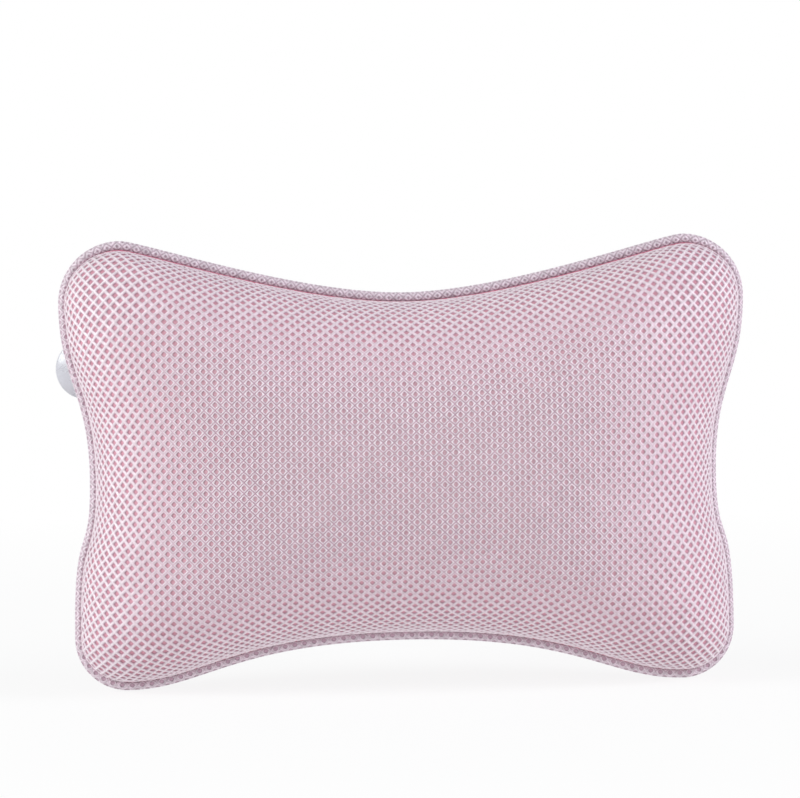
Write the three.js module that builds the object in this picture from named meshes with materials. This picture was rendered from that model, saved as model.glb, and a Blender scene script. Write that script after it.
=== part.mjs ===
// Bath pillow: a stuffed cover of air mesh with a piped edge, hung on a bath's wall by two suction cups.
// Millimetres. Seen from the front, +X is to the right and +Z is up. +Y points to the wall.
// The origin lies on the wall's plane, behind the middle of the pillow.
import * as THREE from 'three';

// Gap between pieces that touch
const CLEARANCE = 0.3;

// Outline of the piped edge, measured from the pillow's middle
const TOP_WIDTH = 300;
const BOTTOM_WIDTH = 290;
const TOP_REACH = 98;
const BOTTOM_REACH = 98;
const TOP_LOBE_RADIUS = 27;
const BOTTOM_LOBE_RADIUS = 23;
const TOP_WAIST = 74;
const BOTTOM_WAIST = 78.5;
const SIDE_WAIST = 137.5;
const SIDE_WAIST_HEIGHT = -5;

// How far each edge runs straight on before it bends, at its waist and at its lobe
const TOP_WAIST_RUN = 46;
const TOP_LOBE_RUN = 9;
const SIDE_WAIST_RUN = 38;
const SIDE_TOP_LOBE_RUN = 34;
const SIDE_BOTTOM_LOBE_RUN = 55;
const BOTTOM_WAIST_RUN = 77;
const BOTTOM_LOBE_RUN = 33;

// Air mesh cover
const MESH_THICKNESS = 4;
const ALLOWANCE_THICKNESS = 2;
const ALLOWANCE_WIDTH = 6.2;
const FRONT_CROWN = 48;
const FRONT_OVERHANG = 1.5;
const FRONT_SIDE_OVERHANG = 2;
const FRONT_OVERHANG_RISE = 8;
const REAR_CROWN = 30;
const REAR_OVERHANG = 0.8;
const REAR_SIDE_OVERHANG = 1.5;
const REAR_OVERHANG_RISE = 5;

// Shape of a crown: the first power flattens its middle, the second rounds its shoulders
const FRONT_CROWN_POWERS = [2.2, 0.52];
const REAR_CROWN_POWERS = [3, 0.6];
// Share of the width along which a crown keeps its height
const CROWN_RIDGE_SHARE = 0.45;

// Piping: a strip folded round a cord, with its two lips in the seam
const PIPING_DIAMETER = 5.2;
const PIPING_STRIP_THICKNESS = 0.9;
const PIPING_LIP_GAP = 0.6;

// Cloth tabs that carry the cups
const TAB_WIDTH = 14;
const TAB_THICKNESS = 1.6;
const TAB_REACH = 29;
const TAB_SEWN_LENGTH = 13;

// Suction cups
const CUP_INSET = 12.2;
const CUP_HEIGHT_ON_WALL = 40.5;
const CUP_RADIUS = 13.5;
const CUP_RIM_WIDTH = 1.8;
const CUP_RIM_EDGE = 0.8;
const CUP_HOLLOW = 3.6;
const CUP_DEPTH = 7.5;
const CUP_SHOULDER_RADIUS = 4.2;
const CUP_NECK_RADIUS = 2.3;
const CUP_HEAD_RADIUS = 4.3;
const CUP_HEAD_THICKNESS = 2.6;
const CUP_HEAD_FLATNESS = 0.8;

// Eyelets
const EYELET_BORE_CLEARANCE = 0.4;
const EYELET_WALL = 0.6;
const EYELET_FLANGE_WIDTH = 1.9;
const EYELET_FLANGE_THICKNESS = 0.8;
const EYELET_ROLL_WIDTH = 1.3;
const EYELET_ROLL_THICKNESS = 0.6;
const WASHER_WIDTH = 1.2;
const WASHER_THICKNESS = 0.6;

// Fineness of the facets
const EDGE_SEGMENTS = 7;
const LOBE_SEGMENTS = 7;
const SIDE_SEGMENTS = 4;
const PIPING_ARC_SEGMENTS = 7;
const CORD_SIDES = 6;
const CUP_SIDES = 28;
const EYELET_SIDES = 20;
const CURVE_SEGMENTS = 5;
const TAB_ARC_SEGMENTS = 10;
const SEWN_STEPS_ALONG = 6;
const SEWN_STEPS_ACROSS = 4;
const CROWN_STEPS = [0.97, 0.9, 0.78, 0.6, 0.35];
const FILLING_STEPS = [0.9, 0.6];

// Colours
const MESH_PINK = 0xe3b9c6;
const PIPING_PINK = 0xd6b3c8;
const CORD_WHITE = 0xf2eef0;
const FILLING_WHITE = 0xf7f5f4;
const TAB_PINK = 0xdcb4c2;
const CUP_CLEAR = 0xdcdde2;
const EYELET_NICKEL = 0xc9c9cc;

const pipingRadius = PIPING_DIAMETER / 2;
const lipFace = PIPING_LIP_GAP / 2 + PIPING_STRIP_THICKNESS;
const rimInset = PIPING_DIAMETER + CLEARANCE;
const allowanceInset = rimInset + ALLOWANCE_WIDTH;

// The half of the edge on the right, from the top waist round to the bottom waist
function rightEdge() {
  const topLobe = new THREE.Vector2(TOP_WIDTH / 2 - TOP_LOBE_RADIUS, TOP_REACH - TOP_LOBE_RADIUS);
  const bottomLobe = new THREE.Vector2(
    BOTTOM_WIDTH / 2 - BOTTOM_LOBE_RADIUS,
    BOTTOM_LOBE_RADIUS - BOTTOM_REACH,
  );
  const at = (x, z) => new THREE.Vector2(x, z);
  const curves = [
    [EDGE_SEGMENTS, new THREE.CubicBezierCurve(
      at(0, TOP_WAIST),
      at(TOP_WAIST_RUN, TOP_WAIST),
      at(topLobe.x - TOP_LOBE_RUN, TOP_REACH),
      at(topLobe.x, TOP_REACH),
    )],
    [LOBE_SEGMENTS, new THREE.EllipseCurve(
      topLobe.x, topLobe.y, TOP_LOBE_RADIUS, TOP_LOBE_RADIUS, Math.PI / 2, 0, true,
    )],
    [SIDE_SEGMENTS, new THREE.CubicBezierCurve(
      at(TOP_WIDTH / 2, topLobe.y),
      at(TOP_WIDTH / 2, topLobe.y - SIDE_TOP_LOBE_RUN),
      at(SIDE_WAIST, SIDE_WAIST_HEIGHT + SIDE_WAIST_RUN),
      at(SIDE_WAIST, SIDE_WAIST_HEIGHT),
    )],
    [SIDE_SEGMENTS, new THREE.CubicBezierCurve(
      at(SIDE_WAIST, SIDE_WAIST_HEIGHT),
      at(SIDE_WAIST, SIDE_WAIST_HEIGHT - SIDE_WAIST_RUN),
      at(BOTTOM_WIDTH / 2, bottomLobe.y + SIDE_BOTTOM_LOBE_RUN),
      at(BOTTOM_WIDTH / 2, bottomLobe.y),
    )],
    [LOBE_SEGMENTS, new THREE.EllipseCurve(
      bottomLobe.x, bottomLobe.y, BOTTOM_LOBE_RADIUS, BOTTOM_LOBE_RADIUS, 0, -Math.PI / 2, true,
    )],
    [EDGE_SEGMENTS, new THREE.CubicBezierCurve(
      at(bottomLobe.x, -BOTTOM_REACH),
      at(bottomLobe.x - BOTTOM_LOBE_RUN, -BOTTOM_REACH),
      at(BOTTOM_WAIST_RUN, -BOTTOM_WAIST),
      at(0, -BOTTOM_WAIST),
    )],
  ];
  const points = [at(0, TOP_WAIST)];
  for (const [segments, curve] of curves) points.push(...curve.getPoints(segments).slice(1));
  return points;
}

// The whole edge, clockwise as seen from the front
function closedEdge() {
  const right = rightEdge();
  const left = right.slice(1, -1).reverse().map((p) => new THREE.Vector2(-p.x, p.y));
  return [...right, ...left];
}

const edge = closedEdge();

// The edge moved inwards by an inset, square to itself, and outwards by an overhang where it runs upright
function insetLoop(inset, sideOverhang) {
  return edge.map((point, i) => {
    const before = edge[(i + edge.length - 1) % edge.length];
    const after = edge[(i + 1) % edge.length];
    const along = after.clone().sub(before).normalize();
    const move = inset - sideOverhang * along.y ** 2;
    return new THREE.Vector2(point.x + along.y * move, point.y - along.x * move);
  });
}

// A loop at depth y, drawn in by a scale towards the ridge along the pillow's middle
function loopAt(inset, y, scale = 1, sideOverhang = 0) {
  const scaleX = THREE.MathUtils.lerp(CROWN_RIDGE_SHARE, 1, scale);
  const loop = insetLoop(inset, sideOverhang);
  return loop.map((p) => new THREE.Vector3(p.x * scaleX, y, p.y * scale));
}

function signedVolume(points, triangles) {
  let sum = 0;
  for (let i = 0; i < triangles.length; i += 3) {
    const [a, b, c] = [points[triangles[i]], points[triangles[i + 1]], points[triangles[i + 2]]];
    sum += a.dot(b.clone().cross(c));
  }
  return sum;
}

// A solid from points and triangles, turned so that its faces point outwards
function solid(points, triangles) {
  const outwards = signedVolume(points, triangles) > 0 ? triangles : [...triangles].reverse();
  const geometry = new THREE.BufferGeometry().setFromPoints(points);
  geometry.setIndex(outwards);
  geometry.computeVertexNormals();
  return geometry;
}

// A skin over loops of equal length, closed by a pole at each end or joined end to start
function loft(loops, poles) {
  const count = loops[0].length;
  const points = loops.flat();
  const triangles = [];
  const strips = poles ? loops.length - 1 : loops.length;
  for (let strip = 0; strip < strips; strip += 1) {
    const here = strip * count;
    const next = ((strip + 1) % loops.length) * count;
    for (let i = 0; i < count; i += 1) {
      const j = (i + 1) % count;
      triangles.push(here + i, here + j, next + j, here + i, next + j, next + i);
    }
  }
  if (poles) {
    const last = (loops.length - 1) * count;
    const [first, end] = [points.length, points.length + 1];
    points.push(...poles);
    for (let i = 0; i < count; i += 1) {
      const j = (i + 1) % count;
      triangles.push(first, j, i, end, last + i, last + j);
    }
  }
  return solid(points, triangles);
}

const front = {
  crown: FRONT_CROWN,
  overhang: FRONT_OVERHANG,
  sideOverhang: FRONT_SIDE_OVERHANG,
  overhangRise: FRONT_OVERHANG_RISE,
  powers: FRONT_CROWN_POWERS,
  direction: -1,
  rimY: 0,
};
const rear = {
  crown: REAR_CROWN,
  overhang: REAR_OVERHANG,
  sideOverhang: REAR_SIDE_OVERHANG,
  overhangRise: REAR_OVERHANG_RISE,
  powers: REAR_CROWN_POWERS,
  direction: 1,
  rimY: 0,
};

// Heights above the wall of the pieces on a cup's axis
const boreRadius = CUP_NECK_RADIUS + EYELET_BORE_CLEARANCE;
const barrelRadius = boreRadius + EYELET_WALL;
const flangeLow = CUP_DEPTH + CLEARANCE;
const flangeHigh = flangeLow + EYELET_FLANGE_THICKNESS;
const tabLow = flangeHigh + CLEARANCE;
const tabHigh = tabLow + TAB_THICKNESS;
const washerLow = tabHigh + CLEARANCE;
const washerHigh = washerLow + WASHER_THICKNESS;
const rollLow = washerHigh + CLEARANCE;
const rollHigh = rollLow + EYELET_ROLL_THICKNESS;
const headLow = rollHigh + CLEARANCE;
const headHigh = headLow + CUP_HEAD_THICKNESS;

const cupX = TOP_WIDTH / 2 - CUP_INSET;
const foldX = cupX - TAB_REACH;

// Loops of one crown from its rim to its middle, set in from the outer face by a depth
function crownLoops(side, depth, rimRise, steps) {
  const [flatness, roundness] = side.powers;
  const crown = side.crown - depth;
  const base = rimInset + depth;
  const riseAt = (s) => side.overhangRise + (crown - side.overhangRise) * (1 - s ** flatness) ** roundness;
  const yAt = (rise) => side.rimY + side.direction * rise;
  const loops = [loopAt(base, yAt(rimRise))];
  for (const scale of [1, ...steps]) {
    loops.push(loopAt(base - side.overhang, yAt(riseAt(scale)), scale, side.sideOverhang));
  }
  return { loops, pole: new THREE.Vector3(0, yAt(crown), 0) };
}

// Rise of the rear panel's outer face over its rim, at a place on it
const rearCrown = crownLoops(rear, 0, 0, CROWN_STEPS);
const rearFace = loft(rearCrown.loops, [new THREE.Vector3(), rearCrown.pole]);
function rearRise(x, z) {
  const position = rearFace.getAttribute('position');
  const place = new THREE.Vector3(x, 0, z);
  const corners = [0, 1, 2].map(() => new THREE.Vector3());
  let rise = 0;
  for (let i = 0; i < rearFace.index.count; i += 3) {
    corners.forEach((corner, k) => corner.fromBufferAttribute(position, rearFace.index.getX(i + k)));
    const rises = new THREE.Vector3(...corners.map((corner) => corner.y));
    const triangle = new THREE.Triangle(...corners.map((corner) => corner.clone().setY(0)));
    if (triangle.containsPoint(place)) {
      rise = Math.max(rise, triangle.getBarycoord(place, new THREE.Vector3()).dot(rises));
    }
  }
  return rise;
}

// The rear panel stands just behind the tabs' folds, which sets the depth of the seam
const foldRise = Math.max(...[-1, 0, 1].map(
  (across) => rearRise(foldX, CUP_HEIGHT_ON_WALL + (across * TAB_WIDTH) / 2),
));
rear.rimY = -(tabHigh + CLEARANCE) - foldRise;
const seamY = rear.rimY - lipFace - CLEARANCE;
front.rimY = seamY - lipFace - CLEARANCE;

// A crowned panel of air mesh with its seam allowance turned in flat against the piping's lips
function meshPanel(side) {
  const outer = crownLoops(side, 0, 0, CROWN_STEPS);
  const inner = crownLoops(side, MESH_THICKNESS, ALLOWANCE_THICKNESS, CROWN_STEPS);
  const allowance = [0, ALLOWANCE_THICKNESS].map(
    (rise) => loopAt(allowanceInset, side.rimY + side.direction * rise),
  );
  const loops = [...outer.loops.reverse(), ...allowance, ...inner.loops];
  return loft(loops, [outer.pole, inner.pole]);
}

// The stuffing, which fills the cover and is drawn in round the seam allowances
function filling() {
  const depth = MESH_THICKNESS + CLEARANCE;
  const rimRise = ALLOWANCE_THICKNESS + CLEARANCE;
  const waist = [front, rear].map(
    (side) => loopAt(allowanceInset + CLEARANCE, side.rimY + side.direction * rimRise),
  );
  const [ahead, behind] = [front, rear].map(
    (side) => crownLoops(side, depth, rimRise, FILLING_STEPS),
  );
  const loops = [...ahead.loops.reverse(), ...waist, ...behind.loops];
  return loft(loops, [ahead.pole, behind.pole]);
}

// Points of an arc in the piping's section, as inset and depth
function sectionArc(radius, from, to, segments) {
  return Array.from({ length: segments + 1 }, (_, i) => {
    const angle = from + ((to - from) * i) / segments;
    return [pipingRadius + radius * Math.cos(angle), radius * Math.sin(angle)];
  });
}

const sweep = (section) => loft(section.map(([inset, depth]) => loopAt(inset, seamY + depth)));

// The strip round the cord: a ring open towards the pillow, with a lip on each side of the opening
function pipingCover() {
  const inside = pipingRadius - PIPING_STRIP_THICKNESS;
  const outerMouth = Math.asin(lipFace / pipingRadius);
  const innerMouth = Math.asin(PIPING_LIP_GAP / 2 / inside);
  const turn = 2 * Math.PI;
  return sweep([
    [allowanceInset, lipFace],
    ...sectionArc(pipingRadius, outerMouth, turn - outerMouth, PIPING_ARC_SEGMENTS),
    [allowanceInset, -lipFace],
    [allowanceInset, -PIPING_LIP_GAP / 2],
    ...sectionArc(inside, turn - innerMouth, innerMouth, PIPING_ARC_SEGMENTS),
    [allowanceInset, PIPING_LIP_GAP / 2],
  ]);
}

function pipingCord() {
  const inside = pipingRadius - PIPING_STRIP_THICKNESS;
  const hole = inside * Math.cos(Math.PI / PIPING_ARC_SEGMENTS);
  const turn = 2 * Math.PI;
  return sweep(sectionArc(hole - CLEARANCE, 0, turn, CORD_SIDES).slice(0, -1));
}

// The end of a tab that is stitched down, following the rear panel
function tabSewnEnd(sign) {
  const points = [];
  for (const height of [CLEARANCE, CLEARANCE + TAB_THICKNESS]) {
    for (let i = 0; i <= SEWN_STEPS_ALONG; i += 1) {
      const x = foldX - CLEARANCE - (TAB_SEWN_LENGTH * i) / SEWN_STEPS_ALONG;
      for (let j = 0; j <= SEWN_STEPS_ACROSS; j += 1) {
        const z = CUP_HEIGHT_ON_WALL + TAB_WIDTH * (j / SEWN_STEPS_ACROSS - 0.5);
        points.push(new THREE.Vector3(sign * x, rear.rimY + rearRise(x, z) + height, z));
      }
    }
  }
  const row = SEWN_STEPS_ACROSS + 1;
  const layer = row * (SEWN_STEPS_ALONG + 1);
  const triangles = [];
  const quad = (a, b, c, d) => triangles.push(a, b, c, a, c, d);
  for (let i = 0; i < SEWN_STEPS_ALONG; i += 1) {
    for (let j = 0; j < SEWN_STEPS_ACROSS; j += 1) {
      const a = i * row + j;
      quad(a, a + 1, a + row + 1, a + row);
      quad(layer + a + row, layer + a + row + 1, layer + a + 1, layer + a);
    }
  }
  const rim = [];
  for (let j = 0; j < SEWN_STEPS_ACROSS; j += 1) rim.push(j);
  for (let i = 0; i < SEWN_STEPS_ALONG; i += 1) rim.push(i * row + SEWN_STEPS_ACROSS);
  for (let j = SEWN_STEPS_ACROSS; j > 0; j -= 1) rim.push(SEWN_STEPS_ALONG * row + j);
  for (let i = SEWN_STEPS_ALONG; i > 0; i -= 1) rim.push(i * row);
  rim.forEach((a, k) => {
    const b = rim[(k + 1) % rim.length];
    quad(b, a, layer + a, layer + b);
  });
  return solid(points, triangles);
}

// The free part of a tab, from its fold to the round end with the eyelet's hole
function tabFreeEnd(sign) {
  const half = TAB_WIDTH / 2;
  const shape = new THREE.Shape();
  shape.moveTo(0, -half);
  shape.lineTo(sign * TAB_REACH, -half);
  shape.absarc(sign * TAB_REACH, 0, half, -Math.PI / 2, Math.PI / 2, sign < 0);
  shape.lineTo(0, half);
  const hole = new THREE.Path();
  hole.absarc(sign * TAB_REACH, 0, barrelRadius + CLEARANCE, 0, 2 * Math.PI, sign > 0);
  shape.holes.push(hole);
  const options = { depth: TAB_THICKNESS, bevelEnabled: false, curveSegments: TAB_ARC_SEGMENTS };
  return new THREE.ExtrudeGeometry(shape, options);
}

const at = (radius, height) => new THREE.Vector2(radius, height);
const ring = (corners) => new THREE.LatheGeometry([...corners, corners[0].clone()], EYELET_SIDES);

// A cup from the middle of its hollow, round the rim and over the dome, up to the head behind the eyelet
function suctionCup() {
  const rimInner = CUP_RADIUS - CUP_RIM_WIDTH;
  const hollow = new THREE.QuadraticBezierCurve(
    at(0, CUP_HOLLOW),
    at(rimInner / 2, CUP_HOLLOW),
    at(rimInner, 0),
  );
  const dome = new THREE.QuadraticBezierCurve(
    at(CUP_RADIUS, CUP_RIM_EDGE),
    at((CUP_RADIUS + CUP_SHOULDER_RADIUS) / 2, CUP_DEPTH / 2),
    at(CUP_SHOULDER_RADIUS, CUP_DEPTH),
  );
  const headTop = new THREE.QuadraticBezierCurve(
    at(CUP_HEAD_RADIUS, (headLow + headHigh) / 2),
    at(CUP_HEAD_RADIUS * CUP_HEAD_FLATNESS, headHigh),
    at(0, headHigh),
  );
  const profile = [
    ...hollow.getPoints(CURVE_SEGMENTS),
    at(CUP_RADIUS, 0),
    ...dome.getPoints(CURVE_SEGMENTS),
    at(CUP_NECK_RADIUS, CUP_DEPTH),
    at(CUP_NECK_RADIUS, headLow),
    at(CUP_HEAD_RADIUS, headLow),
    ...headTop.getPoints(CURVE_SEGMENTS),
  ];
  return new THREE.LatheGeometry(profile, CUP_SIDES);
}

// An eyelet: flange towards the wall, barrel through the tab, and the roll over the washer
function eyelet() {
  return ring([
    at(boreRadius, flangeLow),
    at(barrelRadius + EYELET_FLANGE_WIDTH, flangeLow),
    at(barrelRadius + EYELET_FLANGE_WIDTH, flangeHigh),
    at(barrelRadius, flangeHigh),
    at(barrelRadius, rollLow),
    at(boreRadius + EYELET_ROLL_WIDTH, rollLow),
    at(boreRadius + EYELET_ROLL_WIDTH, rollHigh),
    at(boreRadius, rollHigh),
  ]);
}

function eyeletWasher() {
  const inside = barrelRadius + CLEARANCE;
  return ring([
    at(inside, washerLow),
    at(inside + WASHER_WIDTH, washerLow),
    at(inside + WASHER_WIDTH, washerHigh),
    at(inside, washerHigh),
  ]);
}

function piece(name, geometry, color, roughness, metalness = 0) {
  const material = new THREE.MeshStandardMaterial({ color, roughness, metalness });
  const mesh = new THREE.Mesh(geometry, material);
  mesh.name = name;
  return mesh;
}

const pillow = new THREE.Group();
pillow.add(piece('front_mesh_panel', meshPanel(front), MESH_PINK, 0.85));
pillow.add(piece('rear_mesh_panel', meshPanel(rear), MESH_PINK, 0.85));
pillow.add(piece('fibre_filling', filling(), FILLING_WHITE, 0.95));
pillow.add(piece('piping_cover', pipingCover(), PIPING_PINK, 0.85));
pillow.add(piece('piping_cord', pipingCord(), CORD_WHITE, 0.9));

for (const [side, sign] of [['left', -1], ['right', 1]]) {
  pillow.add(piece(`${side}_tab_sewn_end`, tabSewnEnd(sign), TAB_PINK, 0.9));

  const tab = piece(`${side}_tab`, tabFreeEnd(sign), TAB_PINK, 0.9);
  tab.position.set(sign * foldX, -tabLow, CUP_HEIGHT_ON_WALL);
  tab.rotation.x = Math.PI / 2;
  pillow.add(tab);

  // Heights above the wall run towards the pillow on a cup's axis
  const cupAxis = new THREE.Group();
  cupAxis.position.set(sign * cupX, 0, CUP_HEIGHT_ON_WALL);
  cupAxis.rotation.x = Math.PI;
  cupAxis.add(piece(`${side}_eyelet`, eyelet(), EYELET_NICKEL, 0.3, 1));
  cupAxis.add(piece(`${side}_eyelet_washer`, eyeletWasher(), EYELET_NICKEL, 0.35, 1));
  cupAxis.add(piece(`${side}_suction_cup`, suctionCup(), CUP_CLEAR, 0.15));
  pillow.add(cupAxis);
}

export default pillow;
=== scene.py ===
"""Bath pillow: a stuffed headrest of pink air mesh with a piped edge, hung by suction cups on cloth tabs."""

import math
from types import SimpleNamespace

import bpy
import numpy as np
from bpy.props import FloatProperty, FloatVectorProperty, IntProperty, PointerProperty
from bpy.types import Operator, Panel, PropertyGroup
from mathutils import Matrix, Vector
from mathutils.bvhtree import BVHTree
from mathutils.geometry import delaunay_2d_cdt


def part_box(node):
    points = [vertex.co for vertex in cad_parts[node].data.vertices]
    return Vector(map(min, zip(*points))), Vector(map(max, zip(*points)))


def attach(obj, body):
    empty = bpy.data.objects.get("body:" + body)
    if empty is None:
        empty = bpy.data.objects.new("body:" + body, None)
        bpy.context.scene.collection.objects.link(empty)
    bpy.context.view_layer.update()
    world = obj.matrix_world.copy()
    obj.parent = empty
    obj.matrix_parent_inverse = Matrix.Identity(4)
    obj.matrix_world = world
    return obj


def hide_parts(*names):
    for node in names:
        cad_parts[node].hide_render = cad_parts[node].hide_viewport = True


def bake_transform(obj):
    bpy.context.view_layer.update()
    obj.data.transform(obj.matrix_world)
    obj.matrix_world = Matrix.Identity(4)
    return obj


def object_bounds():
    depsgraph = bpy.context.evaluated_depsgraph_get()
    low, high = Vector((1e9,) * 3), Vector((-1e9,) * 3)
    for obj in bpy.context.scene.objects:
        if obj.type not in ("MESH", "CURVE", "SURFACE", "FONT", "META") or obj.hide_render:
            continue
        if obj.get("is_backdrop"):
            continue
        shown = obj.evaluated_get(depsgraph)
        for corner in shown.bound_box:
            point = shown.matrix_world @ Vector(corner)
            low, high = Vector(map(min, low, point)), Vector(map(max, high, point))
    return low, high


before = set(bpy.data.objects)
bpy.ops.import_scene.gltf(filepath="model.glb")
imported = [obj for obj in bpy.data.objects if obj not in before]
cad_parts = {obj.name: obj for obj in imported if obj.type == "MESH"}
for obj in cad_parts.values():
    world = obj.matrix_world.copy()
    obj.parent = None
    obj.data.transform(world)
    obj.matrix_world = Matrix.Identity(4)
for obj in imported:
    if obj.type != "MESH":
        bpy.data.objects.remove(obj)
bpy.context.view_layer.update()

bl_info = {
    "name": "Bath Pillow",
    "version": (1, 0, 0),
    "blender": (4, 5, 0),
    "location": "View3D > Sidebar > Bath Pillow",
    "description": "Builds the looks of a stuffed bath pillow of air mesh round its packed solids",
    "category": "Object",
}

MM = 0.001
SIDES = {"left": -1, "right": 1}
WHITE = (1.0, 1.0, 1.0)

# The piped edge, in millimetres from the pillow's middle, as the solids have it
TOP_WIDTH = 300
BOTTOM_WIDTH = 290
TOP_REACH = 98
BOTTOM_REACH = 98
TOP_LOBE_RADIUS = 27
BOTTOM_LOBE_RADIUS = 23
TOP_WAIST = 74
BOTTOM_WAIST = 78.5
SIDE_WAIST = 137.5
SIDE_WAIST_HEIGHT = -5
TOP_WAIST_RUN = 46
TOP_LOBE_RUN = 9
SIDE_WAIST_RUN = 38
SIDE_TOP_LOBE_RUN = 34
SIDE_BOTTOM_LOBE_RUN = 55
BOTTOM_WAIST_RUN = 77
BOTTOM_LOBE_RUN = 33

# The crown of each panel over its rim, in millimetres
RIM_INSET = 5.5
FRONT_PANEL = {
    "side": "front",
    "node": "front_mesh_panel",
    "outward": -1,
    "overhang": 1.5,
    "side_overhang": 1.4,
    "rise": 2.5,
    "powers": (2.8, 0.54),
    "ridge": 0.25,
    "oval": 0.4,
    "lean": (-0.04, 0.03),
}
REAR_PANEL = {
    "side": "rear",
    "node": "rear_mesh_panel",
    "outward": 1,
    "overhang": 0.8,
    "side_overhang": 1.5,
    "rise": 5.0,
    "powers": (3.0, 0.6),
    "ridge": 0.45,
    "oval": 0.0,
    "lean": (0.0, 0.0),
}

# How finely the cover is drawn before it is stuffed, and where on the crown it starts to lie slack
EDGE_POINTS = 300
TUCK_STEPS = (1.0, 0.7, 0.35)
TUCK_SAMPLES = 30
CROWN_STEPS = (1.0, 0.997, 0.99, 0.972, 0.945, 0.905, 0.855, 0.80)
MIDDLE_SHARE = 0.77
MIDDLE_SPACING = 4.0
SLACK_START = 0.2

# How the cover's cloth takes its stuffing
CLOTH = {
    "quality": 6,
    "mass": 0.2,
    "tension_stiffness": 30,
    "compression_stiffness": 30,
    "shear_stiffness": 12,
    "bending_stiffness": 2,
    "air_damping": 3,
    "use_pressure": True,
}
STUFFING_FRAMES = 20

# How the flat pattern is worked out, the span of flat cloth that a net may cover, in metres, and how the
# net strays and how its painted shade and highlight change where it lies slack
FIRST_STEPS = 400
PATTERN_ROUNDS = 12
ROUND_STEPS = 120
FLAT_SPAN = 0.44
PIPING_SPAN = 1.2
WELD_DISTANCE = 0.00003
STRAY_SCALE = 160.0
TONE_POWER = 3.0

# How a ring of yarn lies, in four rings of points from its border to the foot of its hole: how square
# the hole is, each ring's height as a share of the groove, and each ring's tone beside, above and
# slantwise of the hole. The tones are painted light: painted shade in the grooves and down the holes'
# walls, and painted highlight on the crests, brightest beside the holes, and on the slack strands' tops
TIGHT_YARN = {
    "slant": 1.0,
    "relief": (-1.0, -0.3, 0.0),
    "shade_and_highlight_tones": ((0.0, 0.0, 0.0), (0.75, 0.45, 0.5), (1.0, 0.7, 0.95), (0.0, 0.0, 0.0)),
}
SLACK_YARN = {
    "slant": 0.76,
    "relief": (0.0, -0.15, -0.5),
    "shade_and_highlight_tones": ((0.95, 0.95, 0.95), (0.6, 0.6, 0.6), (0.35, 0.35, 0.35), (0.0, 0.0, 0.0)),
}
CLOSED_YARN = {
    "slant": 1.0,
    "relief": (-1.0, -0.2, 0.0),
    "shade_and_highlight_tones": ((0.15, 0.15, 0.15), (0.75, 0.75, 0.75), (1.0, 1.0, 1.0), (0.3, 0.3, 0.3)),
}
DOTTED_YARN = {
    "slant": 1.0,
    "relief": (-0.5, -0.1, 0.0),
    "shade_and_highlight_tones": ((0.5, 0.5, 0.5), (0.8, 0.8, 0.8), (1.0, 1.0, 1.0), (0.0, 0.0, 0.0)),
}

# Where the crest lies between hole and border beside, above and slantwise, and the shoulder beyond it
CREST_SHARES = (0.34, 0.32, 0.32)
SHOULDER_SHARE = 0.5
COVER_FLECK = 0.84
PIPING_FLECK = 0.72
GROUND_SHARE = 0.7

# The welt: how finely it is drawn, how far its net reaches past both ends, and how its holes open
WELT_STATIONS = 600
WELT_SIDES = 24
SPARE_STATIONS = 5
SPARE_SIDES = 8
WELT_GAP = 0.00005
WELT_OPENING = 0.9
CLOSED_HOLE = 0.45
WELT_STRAY = 3
LINING_SIDES = 12
FOLD_SHARE = 0.7
FOLD_SIDES = 8

# The fibre's depth under the cover and its lumps, in metres, and the lumps' waves in radians per metre
FIBRE_DEPTH = 0.0048
FIBRE_LUMPS = 0.0007
LUMP_WAVES = ((310.0, 170.0, 240.0), (-130.0, 90.0, 280.0))

# The tabs and their stitches, in metres apart from shares and counts
TAB_GAP = 0.0004
TAB_LIFT_START = 0.005
TAB_LIFT_LENGTH = 0.006
TAB_EYE = 0.0036
TAB_SPACING = 0.0004
TAB_CLEAR_SHARE = 0.6
TAB_ROUNDING = 0.0006
TAB_PROBE = 0.0005
REAR_PROBE = 0.05
TAB_END_STEPS = 34
WARP_RATIO = 1.3
STITCH_INSET = 0.0018
STITCH_SETBACK = 0.0042
STITCH_MARGIN = 0.0019
STITCH_SHARE = 0.86
THREAD_THICKNESS = 0.00042
THREAD_LIFT = 0.00008
RUN_POINTS = 12

# The eyelets' bore, barrel, rolled edge and washer, in metres
EYELET_BORE = 0.0027
EYELET_BARREL = 0.0033
EYELET_ROLL = 0.0040
WASHER_WIDTH = 0.0012
WASHER_BEVEL = 0.0002

# The stage, in metres
FLOOR_HALF = 2.5
FLOOR_GAP = 0.0005
TARGET = (0, -0.036, 0)
LAMP_PLACE = (2.0, -0.7, 1.0)
LAMP_WIDTH = 1.2
AIM_OVER = 0.02700
AIM_ASIDE = 0.00147

made = {}


def length(label, about, size):
    """A setting in metres."""
    return FloatProperty(name=label, description=about, default=size, unit="LENGTH")


def tint(label, about, value):
    """A colour setting."""
    return FloatVectorProperty(
        name=label, description=about, subtype="COLOR", size=3, default=value, min=0, max=1,
    )


def angle(label, about, degrees):
    """A setting for a turn, given in degrees."""
    return FloatProperty(name=label, description=about, default=math.radians(degrees), subtype="ANGLE")


def power(label, about, watts):
    """A setting for a lamp."""
    return FloatProperty(name=label, description=about, default=watts, unit="POWER")


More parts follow.
